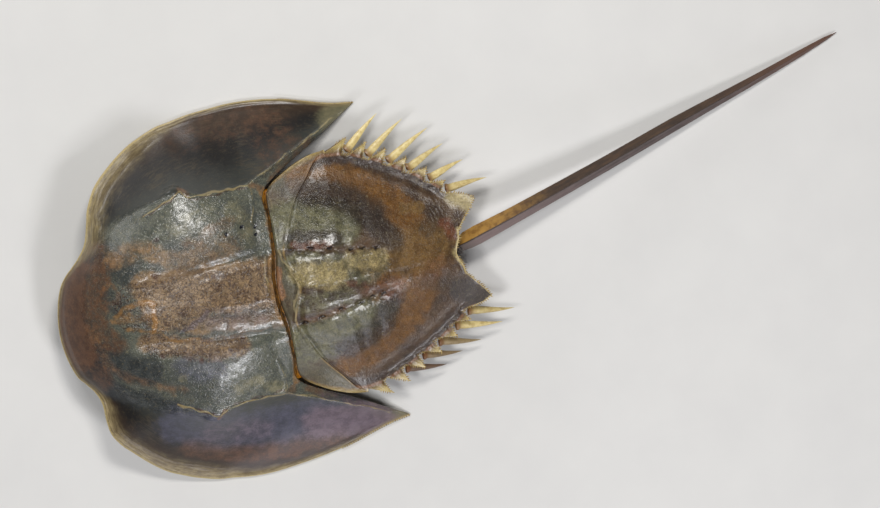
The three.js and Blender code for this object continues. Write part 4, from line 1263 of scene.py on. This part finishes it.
def front_finish():
    """Front shield: stained, granular and glossy on the plateau, smooth and dark on the slope."""
    paint = Paint("varnished_front_shell")
    cloud, blotch, fleck = paint.noise(24, 2), paint.noise(6, 4, 0.6), paint.noise(1.3, 3, 0.65)
    fray = (blotch - 0.5) * 1.6 + (fleck - 0.5) * 0.8
    patch = paint.step(blotch + (fleck - 0.5) * 0.6, 0.25, 0.75)
    grain = paint.cells(1.1, place=paint.warped(2.5, 1.2))
    mesh = paint.cells(1.9, "DISTANCE_TO_EDGE", paint.warped(3.0, 2.4))
    flow = paint.vector(paint.field("from_rim") * 0.0016, paint.field("along_rim") * 0.0002)
    streaks = paint.noise(1.6, 3, 0.6, 0.3, flow)
    depth = paint.field("flank") + (blotch - 0.5) * 0.35
    rough_top = paint.step(paint.field("plateau"), 0.0, 0.7)
    worn = paint.step(paint.field("worn") + fray * 0.4, 0.25, 0.75) * (1 - paint.field("gold"))
    line = paint.squiggles(2.6, 0.075) * worn
    from_rim, roll = paint.field("from_rim"), paint.field("rim_roll")
    rim = 1 - paint.step(from_rim / roll + (blotch - 0.5) * 1.4, 0.0, 2.0)
    hem = 1 - paint.step(from_rim / (roll + 2) + (fleck - 0.5) * 0.2, 0.03, 0.22)

    flank = paint.layers(
        tone(48, 50, 46),
        (tone(28, 26, 25), paint.step(depth, 0.05, 0.45)),
        (tone(56, 42, 30), paint.step(depth, 0.45, 0.9)),
        (tone(78, 68, 50), paint.step(streaks + (cloud - 0.5) * 0.8, 0.5, 0.85) * 0.5),
    )
    plateau = paint.layers(
        tone(64, 68, 63),
        (tone(96, 97, 85), patch),
        (tone(132, 132, 114), (1 - paint.step(grain, 0.1, 0.45)) * 0.5),
        (tone(42, 43, 43), paint.step(fleck + (cloud - 0.5), 0.55, 0.8) * 0.6),
    )
    colour = paint.layers(
        flank,
        (plateau, paint.step(paint.field("plateau") + fray * 0.3, 0.15, 0.85)),
        (paint.blend(tone(84, 70, 50), tone(112, 94, 72), patch), paint.field("band") * 0.8),
    )
    colour = paint.stains(colour, (
        ("slate", tone(32, 34, 37), tone(56, 60, 62), 0.82),
        ("cream", tone(108, 104, 78), tone(136, 128, 96), 0.65),
        ("brow", tone(70, 46, 32), tone(98, 67, 46), 0.92),
        ("cardiac", tone(90, 68, 46), tone(144, 116, 82), 0.86),
        # violet_sheen paints a bluish-lilac sheen, with a thin blue-violet streak
        ("violet_sheen", tone(62, 64, 84), tone(92, 92, 114), 0.5),
        # mauve is partly the pinkish end of the painted sheen on the left slope
        ("mauve", tone(92, 76, 84), tone(116, 98, 106), 0.75),
        ("ginger", tone(98, 66, 42), tone(134, 96, 62), 0.7),
        ("umber", tone(52, 32, 26), tone(72, 44, 34), 0.85),
        ("gold", tone(118, 84, 44), tone(154, 112, 60), 0.85),
    ), patch, fray)
    rim_tone = paint.blend(tone(112, 97, 68), tone(158, 142, 103), paint.step(streaks, 0.3, 0.7))
    colour = paint.layers(
        colour,
        (tone(48, 28, 22), line * 0.75),
        (tone(160, 132, 92), paint.step(mesh, 0.2, 0.42) * worn * (1 - line) * 0.42),
        (rim_tone, rim * 0.9),
        (tone(192, 172, 120), hem * 0.85),
        # The pale crest lines are partly a painted highlight along the ridges
        (tone(160, 144, 100), paint.step(paint.field("pale") + fray * 0.7, 0.3, 0.8) * 0.6),
    )
    lining = paint.blend(tone(104, 80, 50), tone(70, 54, 38), paint.step(paint.noise(14, 4), 0.3, 0.7))
    colour = paint.layers(
        paint.mottled(colour, 0.3 + rough_top * 0.7),
        (tone(20, 22, 30), paint.step(paint.field("dots"), 0.35, 0.65)),
        (lining, paint.field("inner")),
    )
    cushions = (1 - paint.step(grain, 0.05, 0.6)) * 0.5
    top_relief = (cushions + paint.noise(3.2, 3) * 1.2 + fleck * 0.9) * rough_top - line * 0.8
    slope_relief = (streaks * 0.4 + fleck * 0.15) * (1 - rough_top)
    roughness = 0.28 - rough_top * 0.12 + blotch * 0.08 + worn * 0.08 + paint.field("inner") * 0.2
    coat = 0.03 + rough_top * 0.15 * (1 - worn * 0.7)
    return paint.finish(colour, roughness, paint.bump(top_relief + slope_relief, 0.2), coat, 0.13, 0.5)


def rear_finish():
    """Rear shield: green and brown gloss on the back, a matt front facet and a dark margin."""
    paint = Paint("varnished_rear_shell")
    cloud, blotch, fleck = paint.noise(20, 2), paint.noise(5, 4, 0.6), paint.noise(1.1, 3, 0.65)
    fray = (blotch - 0.5) * 1.6 + (fleck - 0.5) * 0.8
    patch = paint.step(blotch + (fleck - 0.5) * 0.6, 0.22, 0.78)
    grain = paint.cells(1.0, place=paint.warped(2.5, 1.2))
    worn = paint.step(paint.field("worn") + fray * 0.4, 0.25, 0.75)
    line = paint.squiggles(1.8, 0.055) * worn
    facet, dusk = paint.field("facet"), paint.field("dusk")
    margin = paint.field("margin") + (blotch - 0.5) * 3
    slate = paint.step(margin, 1.4, 3.4) * (1 - paint.step(margin, 5.5, 10)) * (1 - facet)
    rosy = paint.step(margin, -0.6, 0.6) * (1 - paint.step(margin, 1.2, 2.8)) * (1 - facet)
    horn = 1 - paint.step(margin, -0.8, 0.6)
    hem = (1 - paint.step(paint.field("from_rim") + (fleck - 0.5) * 0.8, 0.2, 1.1)) * (1 - facet)

    facet_tone = paint.layers(
        tone(74, 60, 48),
        (tone(70, 68, 54), paint.step(cloud, 0.42, 0.58)),
        (tone(104, 92, 70), patch * 0.6),
    )
    colour = paint.layers(
        tone(54, 38, 28),
        (tone(80, 60, 42), paint.step(cloud + (blotch - 0.5) * 0.6, 0.3, 0.7)),
        (facet_tone, facet),
        # Darker in the groove behind the facet's crest: a brown line and painted shade
        (tone(58, 40, 26), paint.field("groove") * 0.6),
        (tone(150, 124, 78), paint.step(paint.field("seam") + fray * 0.3, 0.2, 0.7) * 0.7),
    )
    colour = paint.stains(colour, (
        # The green's pale tone is partly painted sheen
        ("green", tone(62, 62, 48), tone(112, 110, 82), 0.92),
        ("brown", tone(82, 51, 16), tone(122, 83, 32), 0.94),
        ("tan", tone(84, 61, 28), tone(118, 90, 48), 0.85),
        # umber lays dark marks and, inside the upper brown arc, painted shadow
        ("umber", tone(34, 28, 26), tone(50, 40, 34), 0.88),
        # cream is partly a painted sheen on the axial strip
        ("cream", tone(134, 120, 80), tone(176, 158, 110), 0.85),
        ("rust", tone(78, 40, 28), tone(112, 66, 44), 0.8),
        ("fold", tone(120, 78, 48), tone(156, 112, 74), 0.85),
    ), patch, fray)
    spine_tone = paint.blend(tone(112, 90, 52), tone(170, 150, 92), paint.step(margin, 0.0, -5.0))
    colour = paint.layers(
        colour,
        (paint.blend(tone(46, 38, 36), tone(66, 54, 50), patch), slate * 0.85),
        (tone(130, 92, 64), rosy * 0.7),
        (spine_tone, horn),
        (paint.blend(tone(42, 34, 30), tone(62, 52, 46), patch), dusk),
        (tone(190, 170, 116), hem * 0.85),
        (tone(58, 38, 26), paint.field("socket") * 0.85),
        (tone(44, 28, 18), line * 0.45),
        (tone(140, 128, 98), (1 - paint.step(grain, 0.08, 0.35)) * 0.2),
        (paint.blend(tone(132, 118, 78), tone(176, 160, 112), patch), paint.field("lobe")),
        # The pale lines are partly a painted highlight on the beads and crests
        (tone(160, 146, 112), paint.step(paint.field("pale") + fray * 0.7, 0.3, 0.8) * 0.6),
    )
    lining = paint.blend(tone(104, 78, 48), tone(72, 54, 38), paint.step(paint.noise(12, 4), 0.3, 0.7))
    colour = paint.layers(
        paint.mottled(colour),
        (tone(26, 15, 12), paint.step(paint.field("dots"), 0.3, 0.6) * 0.9),
        (lining, paint.field("inner")),
    )
    cushions = (1 - paint.step(grain, 0.05, 0.6)) * 0.5
    relief = (cushions + paint.noise(2.8, 3) * 1.2 - line * 0.7) * (1 - facet * 0.3) + fleck * 0.6
    shiny = paint.step(paint.field("green"), 0.0, 0.6)
    dull = facet * 0.06 + dusk * 0.2 + paint.field("inner") * 0.1
    roughness = 0.26 - shiny * 0.09 + blotch * 0.08 + dull
    coat = (0.08 + shiny * 0.14) * (1 - facet) * (1 - dusk)
    return paint.finish(colour, roughness, paint.bump(relief, 0.2), coat, 0.13, 0.48)


def tail_finish():
    """Tail: purple-brown horn, amber near its root on the right face, dark on the saw teeth."""
    paint = Paint("horn_tail")
    blotch, fleck = paint.noise(5, 4, 0.6), paint.noise(0.9, 3, 0.7)
    lengthwise = paint.vector(paint.field("run") * 0.00012, paint.field("around") * 0.02)
    grain = paint.noise(1.4, 4, 0.6, 0.2, lengthwise)
    streak = paint.step(grain, 0.3, 0.7)
    run, right_face = paint.field("run"), paint.step(paint.field("right_face"), 0.35, 0.65)
    right_tone = paint.blend(tone(76, 55, 38), tone(50, 37, 28), streak)
    left_tone = paint.layers(
        tone(96, 80, 78),
        (tone(62, 50, 48), streak),
        (tone(146, 124, 120), (1 - paint.step(run, 20, 130)) * 0.55),
    )
    amber_tone = paint.blend(tone(172, 130, 60), tone(132, 92, 38), paint.step(blotch, 0.4, 0.7))
    teeth = paint.step(paint.field("ridge") + (fleck - 0.5) * 0.5, 0.5, 0.95)
    colour = paint.layers(
        left_tone,
        (right_tone, right_face),
        (amber_tone, right_face * (1 - paint.step(run + (blotch - 0.5) * 30, 14, 84))),
        (tone(84, 76, 70), (1 - paint.step(run, 9, 22)) * (1 - right_face) * 0.7),
        (tone(40, 27, 20), teeth * 0.75),
        (tone(104, 72, 58), paint.step(run, 180, 280) * 0.6),
    )
    normal = paint.bump(grain * 0.8 + fleck * 0.4, 0.15)
    return paint.finish(colour, 0.4 + blotch * 0.14, normal, 0.05, 0.2, 0.3)


def spine_finish():
    paint = Paint("pale_spine_horn")
    blotch, fleck = paint.noise(2.2, 4, 0.6), paint.noise(0.6, 3, 0.7)
    reach, stain = paint.field("reach") + (blotch - 0.5) * 0.16, paint.field("stain")
    colour = paint.layers(
        tone(218, 200, 140),
        (tone(188, 164, 102), paint.step(blotch, 0.35, 0.7)),
        (paint.blend(tone(104, 80, 58), tone(84, 66, 54), blotch), stain),
        (tone(104, 62, 28), (1 - paint.step(reach, 0.02, 0.2)) * 0.9),
        (tone(216, 200, 144), paint.step(reach, 0.8, 1.0) * (1 - stain) * 0.6),
    )
    return paint.finish(colour, 0.36 + blotch * 0.1, paint.bump(fleck + blotch, 0.1), 0.15, 0.2)


def bristle_finish():
    paint = Paint("frayed_bristles")
    patch = paint.step(paint.noise(1.5, 2), 0.35, 0.65)
    colour = paint.blend(tone(188, 166, 108), tone(122, 94, 52), patch)
    return paint.finish(colour, 0.5 + paint.noise(1, 2) * 0.1)


def hinge_finish():
    paint = Paint("amber_skin")
    crumple, fine = paint.noise(4, 4, 0.6, 1.0), paint.noise(0.9, 3, 0.7)
    patch = paint.step(crumple, 0.35, 0.65)
    bright = paint.blend(tone(150, 88, 12), tone(206, 146, 30), patch)
    colour = paint.layers(tone(50, 31, 14), (tone(136, 94, 34), patch), (bright, paint.field("ends")))
    return paint.finish(colour, 0.28 + fine * 0.15, paint.bump(crumple + fine * 0.3, 0.4), 0.2, 0.2)


def sleeve_finish():
    paint = Paint("dark_skin")
    crumple, fine = paint.noise(3, 4, 0.6, 1.2), paint.noise(0.8, 3, 0.7)
    colour = paint.blend(tone(36, 30, 28), tone(62, 52, 46), paint.step(crumple, 0.35, 0.68))
    return paint.finish(colour, 0.4 + fine * 0.15, paint.bump(crumple + fine * 0.3, 0.4), 0.1, 0.25)


def floor_finish():
    paint = Paint("pale_floor")
    colour = paint.blend(tone(212, 211, 208), tone(204, 203, 201), paint.noise(40, 3))
    return paint.finish(colour, 0.75 + paint.noise(15, 2) * 0.1, specular=0.2)


def dress(piece, material, slot=None, node=None):
    """Gives a piece its material and, if it belongs to the object, hangs it under the object's root."""
    piece.data.materials.clear()
    piece.data.materials.append(material)
    if slot:
        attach(piece, "root")
    if node:
        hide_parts(node)


for name, shape, material, slot, node in (
    ("front_shield", front_shape(), front_finish(), "front_shell", "prosoma"),
    ("rear_shield", rear_shape(), rear_finish(), "rear_shell", "opisthosoma"),
    ("tail_spine", tail_shape(), tail_finish(), "tail_shell", "telson"),
    ("hinge_skin_folds", skin_shape(), hinge_finish(), "hinge_skin", "hinge_membrane"),
    ("tail_root_sleeve", sleeve_shape(), sleeve_finish(), "tail_skin", "telson_membrane"),
):
    piece = grid_piece(name, *shape)
    close_up(piece)
    dress(piece, material, slot, node)
spine_horn, bristle_horn = spine_finish(), bristle_finish()
chance = random.Random(7)
tufts, barbs = [], []
for side, sign, tips, droop, sink, stains in (
    ("right", 1, RIGHT_SPINE_TIPS, RIGHT_DROOP, RIGHT_SINK, RIGHT_SPINE_STAIN),
    ("left", -1, LEFT_SPINE_TIPS, LEFT_DROOP, LEFT_SINK, LEFT_SPINE_STAIN),
):
    for i, (x, y) in enumerate(SOCKETS):
        socket = (x, sign * y)
        if tips[i] is not None:
            shape = spine_shape(socket, tips[i], droop, sink, stains[i])
            spine = grid_piece(f"spine_{side}_{i + 1}", *shape)
            close_up(spine)
            dress(spine, spine_horn, "spine_horn", f"movable_spine_{side}_{i + 1}")
        tip = tips[i] or (x + LOST_SPINE_REACH[0], sign * (y + LOST_SPINE_REACH[1]))
        tufts.extend(bristle_tuft(socket, tip, droop, sink, chance))
    rim = lift([(x, sign * y, rear_height(x, y) + REAR_BARB_RAISE) for x, y in REAR_RIM[2:]])
    barbs.extend(barb_row(rim, REAR_BARB_REACH, chance))
    station = np.linspace(0, GENAL_BARB_END, 60)
    rim = front_rim(station if sign > 0 else STATIONS - station) + (0, 0, GENAL_BARB_RAISE)
    barbs.extend(barb_row(rim, GENAL_BARB_REACH, chance))
dress(joined("socket_bristles", tufts), bristle_horn, "spine_horn")
dress(joined("rim_barbs", barbs), bristle_horn, "spine_horn")

# Camera: the long lens looks down on the middle of the picture, leant towards the animal's right
LEAN = math.radians(8.6)
ROLL = math.radians(10.4)
VIEW_CENTRE = Vector((-13.45, -0.45, 0)) * MM
VIEW_WIDTH = 0.572
CAMERA_DISTANCE = 12.0
SENSOR = 36.0
CLIP = (1, 60)
toward_camera = Vector((0, math.sin(LEAN), math.cos(LEAN)))
level_right = Vector((1, 0, 0))
level_up = Vector((0, math.cos(LEAN), -math.sin(LEAN)))
picture_right = level_right * math.cos(ROLL) - level_up * math.sin(ROLL)
picture_up = level_up * math.cos(ROLL) + level_right * math.sin(ROLL)
camera_data = bpy.data.cameras.new("camera")
camera = bpy.data.objects.new("camera", camera_data)
bpy.context.scene.collection.objects.link(camera)
camera_data.sensor_width = SENSOR
camera_data.lens = SENSOR * CAMERA_DISTANCE / VIEW_WIDTH
camera_data.clip_start, camera_data.clip_end = CLIP
turned = Matrix((picture_right, picture_up, toward_camera)).transposed().to_4x4()
camera.matrix_world = Matrix.Translation(VIEW_CENTRE + toward_camera * CAMERA_DISTANCE) @ turned
bpy.context.scene.camera = camera
bpy.context.scene.view_settings.view_transform = "Standard"

# Floor and studio light
FLOOR_SIZE = 12
FLOOR_GAP = 0.0002
SKY = (0.8, 0.82, 0.86, 1)
SKY_STRENGTH = 0.09
bpy.ops.mesh.primitive_plane_add(size=FLOOR_SIZE, location=(0, 0, -FLOOR_GAP))
floor = bpy.context.object
floor.name = "floor"
dress(floor, floor_finish())

LAMPS = (
    # name, place, width, depth, watts, colour
    ("right_box", (0.05, 0.8, 1.25), 0.36, 0.26, 11, (1.0, 0.98, 0.95)),
    ("left_box", (0.35, -0.95, 1.15), 0.38, 0.28, 10, (0.97, 0.97, 1.0)),
    ("front_box", (-0.6, 0.05, 1.5), 0.26, 0.26, 8, (1.0, 1.0, 1.0)),
    ("shoulder_box", (-1.1, 1.0, 0.6), 0.35, 0.2, 1.5, (1.0, 1.0, 1.0)),
    ("right_strip", (-0.6, 1.5, 0.4), 0.4, 0.3, 4.5, (0.97, 0.98, 1.0)),
    ("left_strip", (-0.05, -1.5, 0.5), 1.0, 0.3, 4, (0.9, 0.9, 1.0)),
)
for name, spot, wide, deep, watts, colour in LAMPS:
    bpy.ops.object.light_add(type="AREA", location=spot)
    lamp = bpy.context.object
    lamp.name = name
    lamp.data.shape = "RECTANGLE"
    lamp.data.size, lamp.data.size_y = wide, deep
    lamp.data.energy = watts
    lamp.data.color = colour
    lamp.rotation_euler = Vector(spot).to_track_quat("Z", "Y").to_euler()
world = bpy.data.worlds.new("studio")
world.use_nodes = True
background = world.node_tree.nodes["Background"]
background.inputs["Color"].default_value = SKY
background.inputs["Strength"].default_value = SKY_STRENGTH
bpy.context.scene.world = world
